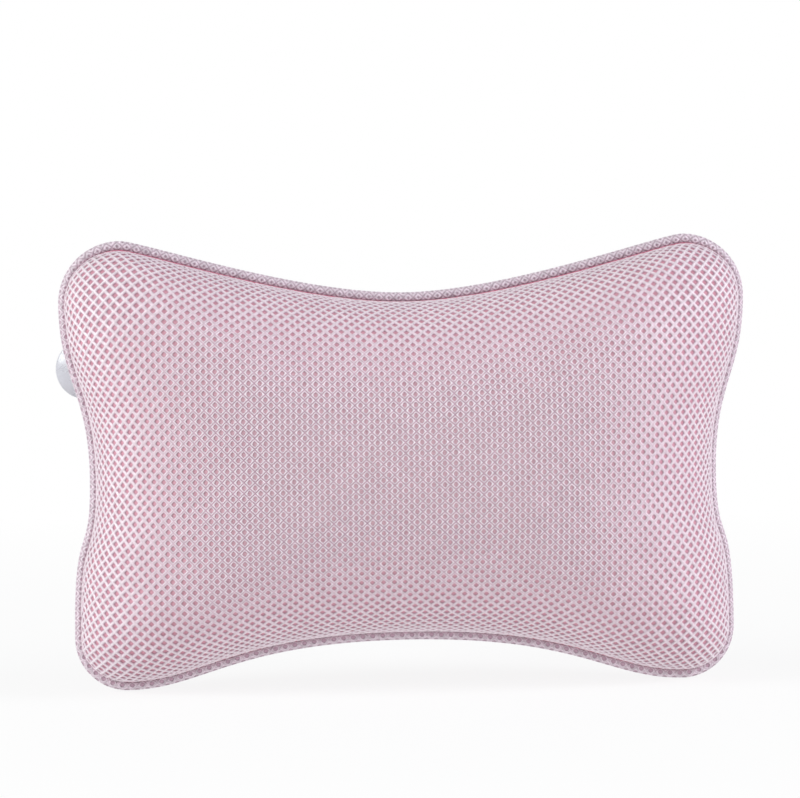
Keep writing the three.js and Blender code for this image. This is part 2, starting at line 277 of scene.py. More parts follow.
class CoverSettings(PropertyGroup):
    """Air mesh of the front and rear panels."""

    pitch: length("Hole Pitch", "Distance between holes along a row", 0.00473)
    row: length("Row Pitch", "Distance between one row of holes and the next", 0.00232)
    hole_width: length("Hole Width", "Width of a hole across the pillow", 0.0016)
    hole_height: length("Hole Height", "Height of a hole", 0.0020)
    slack_hole_width: length("Slack Hole Width", "Width of a hole near the seam", 0.0023)
    slack_hole_height: length("Slack Hole Height", "Height of a hole near the seam", 0.0021)
    groove: length("Groove", "Depth of the grooves between the rings of yarn", 0.00055)
    depth: length("Net Depth", "Depth of the yarn walls round each hole", 0.0005)
    ground_depth: length("Ground Depth", "Depth of the back layer under the net", 0.0007)
    jitter: length("Unevenness", "How far the knit strays from an even net", 0.00016)
    pressure: FloatProperty(
        name="Stuffing Pressure", description="Pressure of the stuffing against the cover", default=4.0,
    )
    swell: length("Swell", "Farthest that the stuffing pushes the cover", 0.004)
    # The crest colour is the yarn's own pink whitened by painted highlight; the wall colour is the yarn
    # darkened by painted shade in holes and grooves
    crest_colour_and_highlight: tint("Yarn Crest", "Colour of the net's raised yarn", (0.92, 0.855, 0.90))
    wall_colour_and_shade: tint("Yarn Wall", "Colour of the yarn inside the holes and grooves", (0.64, 0.35, 0.48))
    ground_colour: tint("Ground", "Colour of the back layer, seen through the holes", (0.78, 0.52, 0.59))
    # The back layer's colour near the seam is painted shade: the layer is drawn deeper rose towards the seam
    edge_shade_colour: tint("Ground At The Edge", "Colour of the back layer near the seam", (0.72, 0.33, 0.42))


class PipingSettings(PropertyGroup):
    """Welt of folded air mesh round the edge."""

    cells_round: IntProperty(name="Cells Round", description="Pairs of rows round the welt", default=3)
    pitch: length("Hole Pitch", "Distance between holes along the welt", 0.0043)
    hole: length("Hole", "Width of a hole along the bottom of the welt", 0.0019)
    fold_radius: length("Fold", "Radius of the fold beside the welt", 0.0005)
    groove: length("Groove", "Depth of the grooves between the rings of yarn", 0.0003)
    depth: length("Net Depth", "Depth of the yarn walls round each hole", 0.00035)
    # The crest colour is the yarn's own pink whitened by painted highlight; the wall colour is the yarn
    # darkened by painted shade in holes and grooves
    crest_colour_and_highlight: tint("Yarn Crest", "Colour of the welt's raised yarn", (0.87, 0.75, 0.83))
    wall_colour_and_shade: tint("Yarn Wall", "Colour of the yarn inside the welt's holes", (0.52, 0.33, 0.43))
    ground_colour: tint("Lining", "Colour of the layer under the welt's net", (0.64, 0.45, 0.55))
    # The seam fold's dark crimson is partly the rose seam allowance and partly painted shade of the crease
    # between panel and welt
    seam_fold_shade_colour: tint("Seam", "Colour of the fold where panel and welt meet", (0.64, 0.14, 0.25))


class TabSettings(PropertyGroup):
    """Cloth tabs that carry the cups."""

    weave: length("Weave Relief", "Height of the weave's ribs", 0.00009)
    rib_pitch: length("Rib Pitch", "Distance between ribs along a tab", 0.0011)
    stitch: length("Stitch Length", "Length of one stitch", 0.0022)
    colour: tint("Webbing", "Colour of the tabs", (0.76, 0.52, 0.60))
    thread_colour: tint("Thread", "Colour of the sewing thread", (0.86, 0.68, 0.75))


class CupSettings(PropertyGroup):
    """Suction cups and the eyelets that hold them."""

    colour: tint("Cup", "Tint of the cups' clear vinyl", (0.70, 0.70, 0.76))
    clearness: FloatProperty(
        name="Clearness", description="How much light goes through the vinyl",
        default=0.3, min=0, max=1, subtype="FACTOR",
    )
    nickel_colour: tint("Nickel", "Colour of the eyelets", (0.78, 0.77, 0.75))


class StageSettings(PropertyGroup):
    """Camera, floor and light."""

    azimuth: angle("Azimuth", "Camera's turn round the pillow", -5)
    elevation: angle("Elevation", "Camera's height over the pillow", 4.5)
    roll: angle("Roll", "Camera's turn about its own view", 0.65)
    distance: length("Distance", "From the camera to the pillow", 1.776)
    lens: FloatProperty(name="Lens", description="Focal length of the camera", default=182.4, unit="CAMERA")
    key_power: power("Key Light", "Power of the light from the left", 37.0)
    fill_power: power("Fill Light", "Power of the light from the right", 36.0)
    key_colour: tint("Key Tint", "Colour of the light from the left", (0.95, 1.0, 0.98))
    fill_colour: tint("Fill Tint", "Colour of the light from the right", (0.93, 0.94, 1.0))
    ambient: FloatProperty(
        name="Room Light", description="Strength of the even light from all round", default=0.36,
    )


class PillowSettings(PropertyGroup):
    """Sizes and colours of the whole pillow."""

    cover: PointerProperty(type=CoverSettings)
    piping: PointerProperty(type=PipingSettings)
    tabs: PointerProperty(type=TabSettings)
    cups: PointerProperty(type=CupSettings)
    stage: PointerProperty(type=StageSettings)


def unit(vectors):
    return vectors / np.maximum(np.linalg.norm(vectors, axis=-1, keepdims=True), 1e-12)


def smoothstep(value):
    held = np.clip(value, 0, 1)
    return held * held * (3 - 2 * held)


def bezier(start, start_handle, end_handle, end, steps=60):
    t = np.linspace(0, 1, steps + 1)[:, None]
    corners = [np.array(p, float) for p in (start, start_handle, end_handle, end)]
    weights = ((1 - t) ** 3, 3 * (1 - t) ** 2 * t, 3 * (1 - t) * t**2, t**3)
    return sum(w * p for w, p in zip(weights, corners))


def arc(centre, radius, start, end, steps=40):
    angles = np.radians(np.linspace(start, end, steps + 1))
    return np.array(centre) + radius * np.stack([np.cos(angles), np.sin(angles)], 1)


def evenly(path, count):
    """Points at even distances along a path, its end left out."""
    travel = np.concatenate([[0], np.cumsum(np.linalg.norm(np.diff(path, axis=0), axis=1))])
    places = np.linspace(0, travel[-1], count, endpoint=False)
    return np.stack([np.interp(places, travel, path[:, k]) for k in range(path.shape[1])], 1)


def pillow_edge(count):
    """Even points round the piped edge in millimetres, clockwise from the top's waist."""
    lobe = (TOP_WIDTH / 2 - TOP_LOBE_RADIUS, TOP_REACH - TOP_LOBE_RADIUS)
    foot = (BOTTOM_WIDTH / 2 - BOTTOM_LOBE_RADIUS, BOTTOM_LOBE_RADIUS - BOTTOM_REACH)
    waist = (SIDE_WAIST, SIDE_WAIST_HEIGHT)
    right = np.vstack([
        bezier(
            (0, TOP_WAIST), (TOP_WAIST_RUN, TOP_WAIST),
            (lobe[0] - TOP_LOBE_RUN, TOP_REACH), (lobe[0], TOP_REACH),
        )[:-1],
        arc(lobe, TOP_LOBE_RADIUS, 90, 0)[:-1],
        bezier(
            (TOP_WIDTH / 2, lobe[1]), (TOP_WIDTH / 2, lobe[1] - SIDE_TOP_LOBE_RUN),
            (SIDE_WAIST, SIDE_WAIST_HEIGHT + SIDE_WAIST_RUN), waist,
        )[:-1],
        bezier(
            waist, (SIDE_WAIST, SIDE_WAIST_HEIGHT - SIDE_WAIST_RUN),
            (BOTTOM_WIDTH / 2, foot[1] + SIDE_BOTTOM_LOBE_RUN), (BOTTOM_WIDTH / 2, foot[1]),
        )[:-1],
        arc(foot, BOTTOM_LOBE_RADIUS, 0, -90)[:-1],
        bezier(
            (foot[0], -BOTTOM_REACH), (foot[0] - BOTTOM_LOBE_RUN, -BOTTOM_REACH),
            (BOTTOM_WAIST_RUN, -BOTTOM_WAIST), (0, -BOTTOM_WAIST),
        ),
    ])
    left = right[::-1][1:] * (-1, 1)
    return evenly(np.vstack([right, left]), count)


def inward_of(loop):
    """Directions square to a clockwise loop, towards its inside."""
    along = unit(np.roll(loop, -1, 0) - np.roll(loop, 1, 0))
    return np.stack([along[:, 1], -along[:, 0]], 1)


def in_loop(points, loop):
    """Which points lie inside a closed loop."""
    ahead = np.roll(loop, -1, 0)
    inside = np.zeros(len(points), bool)
    for (x0, z0), (x1, z1) in zip(loop, ahead):
        if z0 == z1:
            continue
        spans = (z0 > points[:, 1]) != (z1 > points[:, 1])
        inside ^= spans & (points[:, 0] < (x1 - x0) * (points[:, 1] - z0) / (z1 - z0) + x0)
    return inside


def polar_reach(loop):
    """A function of direction that gives how far a loop lies from the middle."""
    angles, reach = np.arctan2(loop[:, 1], loop[:, 0]), np.linalg.norm(loop, axis=1)
    order = np.argsort(angles)
    angles, reach = angles[order], reach[order]
    return lambda turn: np.interp(turn, angles, reach, period=2 * math.pi)


def contour_reach(loop, panel, turn, share):
    """How far a contour of the crown lies from the middle: the loop itself at the rim, rounder within."""
    outline = polar_reach(loop)
    wide = outline(np.zeros(1))
    tall = outline(np.where(np.sin(turn) > 0, math.pi / 2, -math.pi / 2))
    oval = wide * tall / np.hypot(tall * np.cos(turn), wide * np.sin(turn))
    keep = 1 - panel["oval"] * (1 - share**2)
    return outline(turn) * keep + oval * (1 - keep)


def crown_share(points, loop, panel):
    """How far each point lies from the crown's top, 0, towards its widest loop, 1."""
    low, high = np.full(len(points), 1e-3), np.ones(len(points))
    for _ in range(16):
        middle = (low + high) / 2
        x = points[:, 0] / (panel["ridge"] + (1 - panel["ridge"]) * middle)
        z = points[:, 1] / middle
        inside = np.hypot(x, z) <= contour_reach(loop, panel, np.arctan2(z, x), middle)
        high, low = np.where(inside, middle, high), np.where(inside, low, middle)
    return high


def triangulated(layout, rim_count):
    """Triangles over flat points whose first points are the rim in order."""
    rim = [(i, (i + 1) % rim_count) for i in range(rim_count)]
    points = [Vector(p) for p in layout]
    _, _, faces, sources, _, _ = delaunay_2d_cdt(points, rim, [], 1, 1e-7)
    names = [source[0] for source in sources]
    return np.array([[names[i] for i in face] for face in faces if len(face) == 3], int)


def overhang_of(panel, inward):
    """How far a panel's widest loop hangs over its rim, in millimetres."""
    return panel["overhang"] + panel["side_overhang"] * inward[:, :1] ** 2


def drawn_panel(panel):
    """One panel before stuffing: its layout and places in metres, its triangles and its slack, seam first."""
    low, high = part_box(panel["node"])
    rim = (high.y if panel["outward"] < 0 else low.y) / MM
    crown = (high.y - low.y) / MM
    edge = pillow_edge(EDGE_POINTS)
    inward = inward_of(edge)
    overhang = overhang_of(panel, inward)
    widest = edge + inward * (RIM_INSET - overhang)
    mean_overhang = float(overhang.mean())
    layout, plan, rises = [], [], []
    for tuck in TUCK_STEPS:
        turn = np.linspace(0, tuck * math.pi / 2, TUCK_SAMPLES)
        steps = np.hypot(mean_overhang * np.sin(turn), panel["rise"] * np.cos(turn))
        layout.append(widest - inward * np.trapz(steps, turn))
        plan.append(widest + inward * overhang * (1 - math.cos(turn[-1])))
        rises.append(np.full(EDGE_POINTS, panel["rise"] * (1 - math.sin(turn[-1]))))
    flatness, roundness = panel["powers"]
    shares = []
    for share in CROWN_STEPS:
        turn = np.arctan2(widest[:, 1], widest[:, 0])
        rounder = contour_reach(widest, panel, turn, share) / np.linalg.norm(widest, axis=1)
        ring = widest * rounder[:, None] * (panel["ridge"] + (1 - panel["ridge"]) * share, share)
        layout.append(ring)
        plan.append(ring)
        shares.append(np.full(EDGE_POINTS, share))
    across = np.arange(-TOP_WIDTH / 2, TOP_WIDTH / 2, MIDDLE_SPACING)
    up = np.arange(-BOTTOM_REACH, TOP_REACH, MIDDLE_SPACING * math.sqrt(3) / 2)
    lattice = np.array([
        (x + MIDDLE_SPACING / 2 * (j % 2), z) for j, z in enumerate(up) for x in across
    ])
    lattice = lattice[in_loop(lattice, widest)]
    middle_shares = crown_share(lattice, widest, panel)
    kept = middle_shares < MIDDLE_SHARE
    layout.append(lattice[kept])
    plan.append(lattice[kept])
    shares.append(middle_shares[kept])
    share = np.concatenate(shares)
    rises.append(panel["rise"] + (crown - panel["rise"]) * (1 - share**flatness) ** roundness)
    layout, plan, rises = np.vstack(layout), np.vstack(plan), np.concatenate(rises)
    plan = plan + rises[:, None] * panel["lean"]
    depth = rim + panel["outward"] * rises
    places = np.stack([plan[:, 0], depth, plan[:, 1]], 1) * MM
    triangles = triangulated(layout, EDGE_POINTS)
    crown_slack = smoothstep((share - SLACK_START) / (1 - SLACK_START))
    slack = np.concatenate([np.ones(len(TUCK_STEPS) * EDGE_POINTS), crown_slack])
    return layout * MM, places, triangles, slack


def placed(name, data):
    """A new object in the scene."""
    obj = bpy.data.objects.new(name, data)
    bpy.context.scene.collection.objects.link(obj)
    return obj


def mesh_object(name, places, faces, material=None, smooth=True):
    mesh = bpy.data.meshes.new(name)
    mesh.from_pydata([tuple(p) for p in places], [], [tuple(int(i) for i in f) for f in faces])
    mesh.polygons.foreach_set("use_smooth", [smooth] * len(mesh.polygons))
    if material:
        mesh.materials.append(material)
    mesh.update()
    return placed(name, mesh)


def carry(obj, name, values):
    """Stores a number or a vector for each point of a mesh."""
    kind, field = ("FLOAT", "value") if values.ndim == 1 else ("FLOAT_VECTOR", "vector")
    obj.data.attributes.new(name, kind, "POINT").data.foreach_set(field, values.ravel())


def discard(obj):
    mesh = obj.data
    bpy.data.objects.remove(obj)
    bpy.data.meshes.remove(mesh)


def outward_normals(places, triangles):
    a, b, c = (places[triangles[:, k]] for k in range(3))
    square = np.cross(b - a, c - a)
    total = np.zeros_like(places)
    for k in range(3):
        np.add.at(total, triangles[:, k], square)
    return unit(total)


def stuffed(places, triangles, seam, settings):
    """The sewn cover blown out by its stuffing, with its seam held."""
    cover = mesh_object("cover_for_stuffing", places, triangles)
    held = cover.vertex_groups.new(name="seam")
    held.add([int(i) for i in seam], 1.0, "REPLACE")
    cloth = cover.modifiers.new("stuffing", "CLOTH")
    for name, value in CLOTH.items():
        setattr(cloth.settings, name, value)
    cloth.settings.uniform_pressure_force = settings.pressure
    cloth.settings.vertex_group_mass = held.name
    cloth.settings.effector_weights.gravity = 0
    cloth.collision_settings.use_collision = False
    cloth.collision_settings.use_self_collision = False
    cloth.point_cache.frame_start = 1
    cloth.point_cache.frame_end = STUFFING_FRAMES
    scene = bpy.context.scene
    for step in range(1, STUFFING_FRAMES + 1):
        scene.frame_set(step)
    blown = cover.evaluated_get(bpy.context.evaluated_depsgraph_get())
    settled = np.zeros(len(places) * 3)
    blown.data.vertices.foreach_get("co", settled)
    scene.frame_set(1)
    discard(cover)
    move = settled.reshape(-1, 3) - places
    travel = np.linalg.norm(move, axis=1, keepdims=True)
    if not np.isfinite(travel).all():
        raise RuntimeError("the stuffing did not settle")
    return places + move * np.minimum(1, settings.swell / np.maximum(travel, 1e-9))


def gathered(triangles, values, count):
    """Sums over the triangles' corners for each point."""
    return np.stack([np.bincount(triangles.ravel(), values[..., k].ravel(), count) for k in range(2)], 1)


def relaxed(links, triangles, wanted, flat, rounds):
    """Flat places that meet the wanted pulls best, by conjugate gradients."""
    count = len(flat)
    strength = np.bincount(triangles.ravel(), np.einsum("tii->ti", links).ravel(), count)[:, None]
    rest = wanted - gathered(triangles, np.einsum("tij,tjk->tik", links, flat[triangles]), count)
    eased = rest / strength
    step, misfit = eased.copy(), (rest * eased).sum(0)
    for _ in range(rounds):
        pushed = gathered(triangles, np.einsum("tij,tjk->tik", links, step[triangles]), count)
        reach = misfit / np.maximum((step * pushed).sum(0), 1e-30)
        flat = flat + reach * step
        rest = rest - reach * pushed
        eased = rest / strength
        misfit, before = (rest * eased).sum(0), misfit
        step = eased + step * (misfit / np.maximum(before, 1e-30))
    return flat


def hat_slopes(a, b, c):
    """Slopes of each corner's share over flat triangles, and the triangles' areas."""
    area = (b - a)[:, 0] * (c - a)[:, 1] - (b - a)[:, 1] * (c - a)[:, 0]
    sides = np.stack([c - b, a - c, b - a], 1)
    return np.stack([-sides[..., 1], sides[..., 0]], 2) / area[:, None, None], area / 2


def flat_pattern(layout, places, triangles):
    """The panel as it was cut: threads at their length, then every patch turned but not stretched."""
    count = len(layout)
    slopes, area = hat_slopes(*(layout[triangles[:, k]] for k in range(3)))
    stretch = np.linalg.norm(np.einsum("tij,tik->tjk", places[triangles], slopes), axis=1)
    links = np.einsum("tik,tjk,t->tij", slopes, slopes, area)
    wanted = gathered(triangles, slopes * stretch[:, None, :] * area[:, None, None], count)
    flat = relaxed(links, triangles, wanted, layout.copy(), FIRST_STEPS)

    a, b, c = (places[triangles[:, k]] for k in range(3))
    along = unit(b - a)
    across = np.cross(unit(np.cross(b - a, c - a)), along)
    origin = np.zeros((len(triangles), 2))
    patch = [origin] + [
        np.stack([((p - a) * along).sum(1), ((p - a) * across).sum(1)], 1) for p in (b, c)
    ]
    slopes, area = hat_slopes(*patch)
    links = np.einsum("tik,tjk,t->tij", slopes, slopes, area)
    for _ in range(PATTERN_ROUNDS):
        turn = np.einsum("tij,tik->tjk", flat[triangles], slopes)
        turn = unit(np.stack([turn[:, 0, 0] + turn[:, 1, 1], turn[:, 1, 0] - turn[:, 0, 1]], 1))
        pulls = np.stack([
            turn[:, :1] * slopes[..., 0] - turn[:, 1:] * slopes[..., 1],
            turn[:, 1:] * slopes[..., 0] + turn[:, :1] * slopes[..., 1],
        ], 2)
        wanted = gathered(triangles, pulls * area[:, None, None], count)
        flat = relaxed(links, triangles, wanted, flat, ROUND_STEPS)
    return flat - flat[np.argmin((layout**2).sum(1))]


def wire(tree, kind, inputs=None, **settings):
    """A node with its settings, its inputs set or linked by socket name or number."""
    node = tree.nodes.new(kind)
    for key, value in settings.items():
        setattr(node, key, value)
    for key, value in (inputs or {}).items():
        if isinstance(key, int):
            target = node.inputs[key]
        else:
            target = next(s for s in node.inputs if s.name == key and s.enabled)
        if isinstance(value, bpy.types.NodeSocket):
            tree.links.new(value, target)
        else:
            target.default_value = value
    return node


def out(node, name=None):
    return next(s for s in node.outputs if s.enabled and name in (None, s.name))


def new_tree(name, inputs):
    """An empty geometry tree with named inputs."""
    tree = bpy.data.node_groups.new(name, "GeometryNodeTree")
    tree.interface.new_socket("Geometry", in_out="INPUT", socket_type="NodeSocketGeometry")
    for label, kind in inputs:
        tree.interface.new_socket(label, in_out="INPUT", socket_type=kind)
    tree.interface.new_socket("Geometry", in_out="OUTPUT", socket_type="NodeSocketGeometry")
    return tree, tree.nodes.new("NodeGroupInput")


def net_tree():
    """Rings of yarn in staggered rows over a flat pattern, carried onto the surface it was cut from."""
    tree, given = new_tree("air_mesh_net", (
        ("Cell", "NodeSocketObject"),
        ("Pitch", "NodeSocketFloat"),
        ("Row", "NodeSocketFloat"),
        ("Columns", "NodeSocketInt"),
        ("Row Pairs", "NodeSocketInt"),
        ("Shift", "NodeSocketVector"),
        ("Span", "NodeSocketFloat"),
        ("Unevenness", "NodeSocketFloat"),
        ("Material", "NodeSocketMaterial"),
    ))

    def maths(operation, first, second):
        return out(wire(tree, "ShaderNodeMath", {0: first, 1: second}, operation=operation))

    def vectors(operation, first, second):
        return out(wire(tree, "ShaderNodeVectorMath", {0: first, 1: second}, operation=operation), "Vector")

    def scaled(vector, size):
        node = wire(tree, "ShaderNodeVectorMath", {0: vector, "Scale": size}, operation="SCALE")
        return out(node, "Vector")

    pitch, row = given.outputs["Pitch"], given.outputs["Row"]
    columns, pairs = given.outputs["Columns"], given.outputs["Row Pairs"]
    width = maths("MULTIPLY", pitch, maths("SUBTRACT", columns, 1))
    height = maths("MULTIPLY", maths("MULTIPLY", row, 2), maths("SUBTRACT", pairs, 1))
    grid = out(wire(tree, "GeometryNodeMeshGrid", {
        "Size X": width, "Size Y": height, "Vertices X": columns, "Vertices Y": pairs,
    }), "Mesh")
    stagger = out(wire(tree, "ShaderNodeCombineXYZ", {"X": maths("MULTIPLY", pitch, 0.5), "Y": row}))
    between = wire(tree, "GeometryNodeTransform", {"Geometry": grid, "Translation": stagger})
    joined = tree.nodes.new("GeometryNodeJoinGeometry")
    tree.links.new(grid, joined.inputs[0])
    tree.links.new(out(between), joined.inputs[0])
    shifted = wire(tree, "GeometryNodeTransform", {
        "Geometry": out(joined), "Translation": given.outputs["Shift"],
    })
    cell = wire(tree, "GeometryNodeObjectInfo", {"Object": given.outputs["Cell"]})
    rings = wire(tree, "GeometryNodeInstanceOnPoints", {
        "Points": out(shifted), "Instance": out(cell, "Geometry"),
    })
    real = wire(tree, "GeometryNodeRealizeInstances", {"Geometry": out(rings)})
    welded = wire(tree, "GeometryNodeMergeByDistance", {"Geometry": out(real), "Distance": WELD_DISTANCE})

    def where(places):
        return vectors("ADD", scaled(places, maths("DIVIDE", 1.0, given.outputs["Span"])), (0.5, 0.5, 0.0))

    def stored(name, kind):
        return out(wire(tree, "GeometryNodeInputNamedAttribute", {"Name": name}, data_type=kind))

    pattern = stored("flat", "FLOAT_VECTOR")

    def sampled(value, place, kind):
        return wire(tree, "GeometryNodeSampleUVSurface", {
            "Mesh": given.outputs["Geometry"], "Value": value, "UV Map": pattern, "Sample UV": place,
        }, data_type=kind)

    drawn_tight = out(wire(tree, "GeometryNodeInputPosition"))
    slack = out(sampled(stored("slack", "FLOAT"), where(drawn_tight), "FLOAT"), "Value")
    flat = vectors("ADD", drawn_tight, scaled(stored("ease", "FLOAT_VECTOR"), slack))
    # Painted light: the tone stored on the yarn is painted shade in grooves and holes and painted highlight
    # on crests, shifted where the mesh lies slack
    rise = maths("MULTIPLY", stored("ease_lift", "FLOAT"), maths("POWER", slack, TONE_POWER))
    tone = maths("ADD", stored("lift", "FLOAT"), rise)
    uneven = wire(tree, "ShaderNodeTexNoise", {"Vector": flat, "Scale": STRAY_SCALE, "Detail": 1.0})
    stray = vectors("SUBTRACT", out(uneven, "Color"), (0.5, 0.5, 0.5))
    place = where(vectors("ADD", flat, scaled(stray, given.outputs["Unevenness"])))
    surface = sampled(out(wire(tree, "GeometryNodeInputPosition")), place, "FLOAT_VECTOR")
    outward = sampled(stored("outward", "FLOAT_VECTOR"), place, "FLOAT_VECTOR")
    lift = out(wire(tree, "ShaderNodeSeparateXYZ", {"Vector": flat}), "Z")
    final = vectors("ADD", out(surface, "Value"), scaled(out(outward, "Value"), lift))
    off = out(wire(tree, "FunctionNodeBooleanMath", {0: out(surface, "Is Valid")}, operation="NOT"))
    trimmed = wire(tree, "GeometryNodeDeleteGeometry", {"Geometry": out(welded), "Selection": off})
    marked = wire(tree, "GeometryNodeStoreNamedAttribute", {
        "Geometry": out(trimmed), "Name": "thread", "Value": flat,
    }, data_type="FLOAT_VECTOR", domain="POINT")
    toned = wire(tree, "GeometryNodeStoreNamedAttribute", {
        "Geometry": out(marked), "Name": "lift", "Value": tone,
    }, data_type="FLOAT", domain="POINT")
    laid = wire(tree, "GeometryNodeSetPosition", {"Geometry": out(toned), "Position": final})
    smooth = wire(tree, "GeometryNodeSetShadeSmooth", {"Geometry": out(laid)})
    coloured = wire(tree, "GeometryNodeSetMaterial", {
        "Geometry": out(smooth), "Material": given.outputs["Material"],
    })
    wire(tree, "NodeGroupOutput", {"Geometry": out(coloured)})
    return tree


def grown(host, tree, values, name):
    """The plain mesh that a tree makes on a host, which is then removed."""
    grower = host.modifiers.new(tree.name, "NODES")
    grower.node_group = tree
    for item in tree.interface.items_tree:
        if item.in_out == "INPUT" and item.name in values:
            grower[item.identifier] = values[item.name]
    bpy.context.view_layer.update()
    evaluated = host.evaluated_get(bpy.context.evaluated_depsgraph_get())
    mesh = bpy.data.meshes.new_from_object(evaluated)
    if not mesh.polygons:
        raise RuntimeError(f"{tree.name} made nothing for {name}")
    mesh.name = name
    discard(host)
    return placed(name, mesh)


def yarn_rings(pitch, row, hole, groove, depth, lie):
    """Places and tones of one ring of yarn: a diamond that tiles, its shoulder, its crest, its foot, the
    tones being painted shade in the groove and hole and painted highlight on the crest.
    """
    turns = np.arange(8) * math.pi / 4
    facing = np.array([0, 2, 1, 2, 0, 2, 1, 2])
    straight = facing < 2
    reach = np.where(straight, 1.0, math.sqrt(0.5))
    corners = np.stack([np.cos(turns) * pitch / 2, np.sin(turns) * row], 1) * reach[:, None]
    spread = np.where(straight, 1.0, lie["slant"])[:, None]
    foot = np.stack([hole[0] / 2 * np.cos(turns), hole[1] / 2 * np.sin(turns)], 1) * spread
    crest = foot + (corners - foot) * np.array(CREST_SHARES)[facing][:, None]
    shoulder = crest + (corners - crest) * SHOULDER_SHARE
    heights = [np.full(8, share * groove) for share in lie["relief"]] + [np.full(8, -depth)]
    shade_and_highlight_tones = [np.array(tone)[facing] for tone in lie["shade_and_highlight_tones"]]
    rings = zip((corners, shoulder, crest, foot), heights, shade_and_highlight_tones)
    return np.vstack([np.column_stack(ring) for ring in rings])


def yarn_cell(tight, slack):
    """One ring of yarn as it lies drawn tight, and how it changes where the mesh is slack."""
    faces = [
        (8 * r + k, 8 * r + (k + 1) % 8, 8 * (r + 1) + (k + 1) % 8, 8 * (r + 1) + k)
        for r in range(3) for k in range(8)
    ]
    change = slack - tight
    cell = mesh_object("yarn_cell", tight[:, :3], faces)
    # The tone stored here is painted shade and painted highlight, not the yarn's own colour
    carry(cell, "lift", tight[:, 3])
    carry(cell, "ease", change[:, :3])
    carry(cell, "ease_lift", change[:, 3])
    return cell


def spokes(inward, turns):
    """Directions round a tube along a loop, from inwards towards the rear."""
    across = np.cos(turns)[None, :, None] * inward[:, None, :]
    deep = np.broadcast_to(np.sin(turns), across.shape[:2])
    return np.stack([across[..., 0], deep, across[..., 1]], 2)


def at_depth(line, depth):
    """A line's points at one depth, one row for each."""
    return np.stack([line[:, 0], np.full(len(line), depth), line[:, 1]], 1)[:, None, :]


def round_tube(line, inward, depth, radius, sides):
    """Closed tube along a loop that lies at one depth: its places and its faces."""
    turns = np.arange(sides) * 2 * math.pi / sides
    grid = np.arange(len(line) * sides).reshape(len(line), sides)
    ahead = np.roll(grid, -1, 0)
    faces = np.stack([grid, np.roll(grid, -1, 1), np.roll(ahead, -1, 1), ahead], 2).reshape(-1, 4)
    return (at_depth(line, depth) + spokes(inward, turns) * radius).reshape(-1, 3), faces


def net_host(name, places, faces, normals, flat, span, slack):
    """A surface that carries its flat pattern as a UV map, its normals and its slack."""
    host = mesh_object(name, places, faces)
    corners = np.zeros(len(host.data.loops), int)
    host.data.loops.foreach_get("vertex_index", corners)
    pattern = host.data.uv_layers.new(name="flat")
    pattern.data.foreach_set("uv", (flat[corners] / span + 0.5).ravel())
    carry(host, "outward", normals)
    carry(host, "slack", slack)
    return host


def new_material(name):
    """A material with its tree, its shader and the places on the body that its textures read."""
    material = bpy.data.materials.new(name)
    material.use_nodes = True
    tree = material.node_tree
    return material, tree, tree.nodes["Principled BSDF"], out(wire(tree, "ShaderNodeTexCoord"), "Object")


def fade(tree, factor, stops):
    """A colour ramp through (place, colour) stops."""
    ramp = wire(tree, "ShaderNodeValToRGB", {"Fac": factor})
    points = ramp.color_ramp.elements
    points[0].position, points[0].color = stops[0][0], (*stops[0][1], 1)
    points[1].position, points[1].color = stops[-1][0], (*stops[-1][1], 1)
    for place, colour in stops[1:-1]:
        points.new(place).color = (*colour, 1)
    return out(ramp, "Color")


def tinted(colour, share):
    return tuple(min(1.0, channel * share) for channel in colour)


def noise(tree, vector, scale, detail, distortion=0.0):
    return out(wire(tree, "ShaderNodeTexNoise", {
        "Vector": vector, "Scale": scale, "Detail": detail, "Distortion": distortion,
    }), "Fac")


def multiplied(tree, first, second):
    return out(wire(tree, "ShaderNodeMix", {
        "Factor": 1.0, "A": first, "B": second,
    }, data_type="RGBA", blend_type="MULTIPLY"), "Result")


def carried(tree, name, field):
    """A value that the mesh carries as an attribute."""
    return out(wire(tree, "ShaderNodeAttribute", attribute_name=name), field)


def dressed(tree, shader, colour, relief, bump, rough, levels=None):
    """Gives a shader its colour, its relief as (strength, distance), its roughness and other levels."""
    tree.links.new(colour, shader.inputs["Base Color"])
    raised = wire(tree, "ShaderNodeBump", {"Height": relief, "Strength": bump[0], "Distance": bump[1]})
    tree.links.new(out(raised), shader.inputs["Normal"])
    if isinstance(rough, tuple):
        spread = wire(tree, "ShaderNodeMapRange", {"Value": relief, "To Min": rough[0], "To Max": rough[1]})
        tree.links.new(out(spread, "Result"), shader.inputs["Roughness"])
    else:
        shader.inputs["Roughness"].default_value = rough
    for name, level in (levels or {}).items():
        shader.inputs[name].default_value = level
    return raised


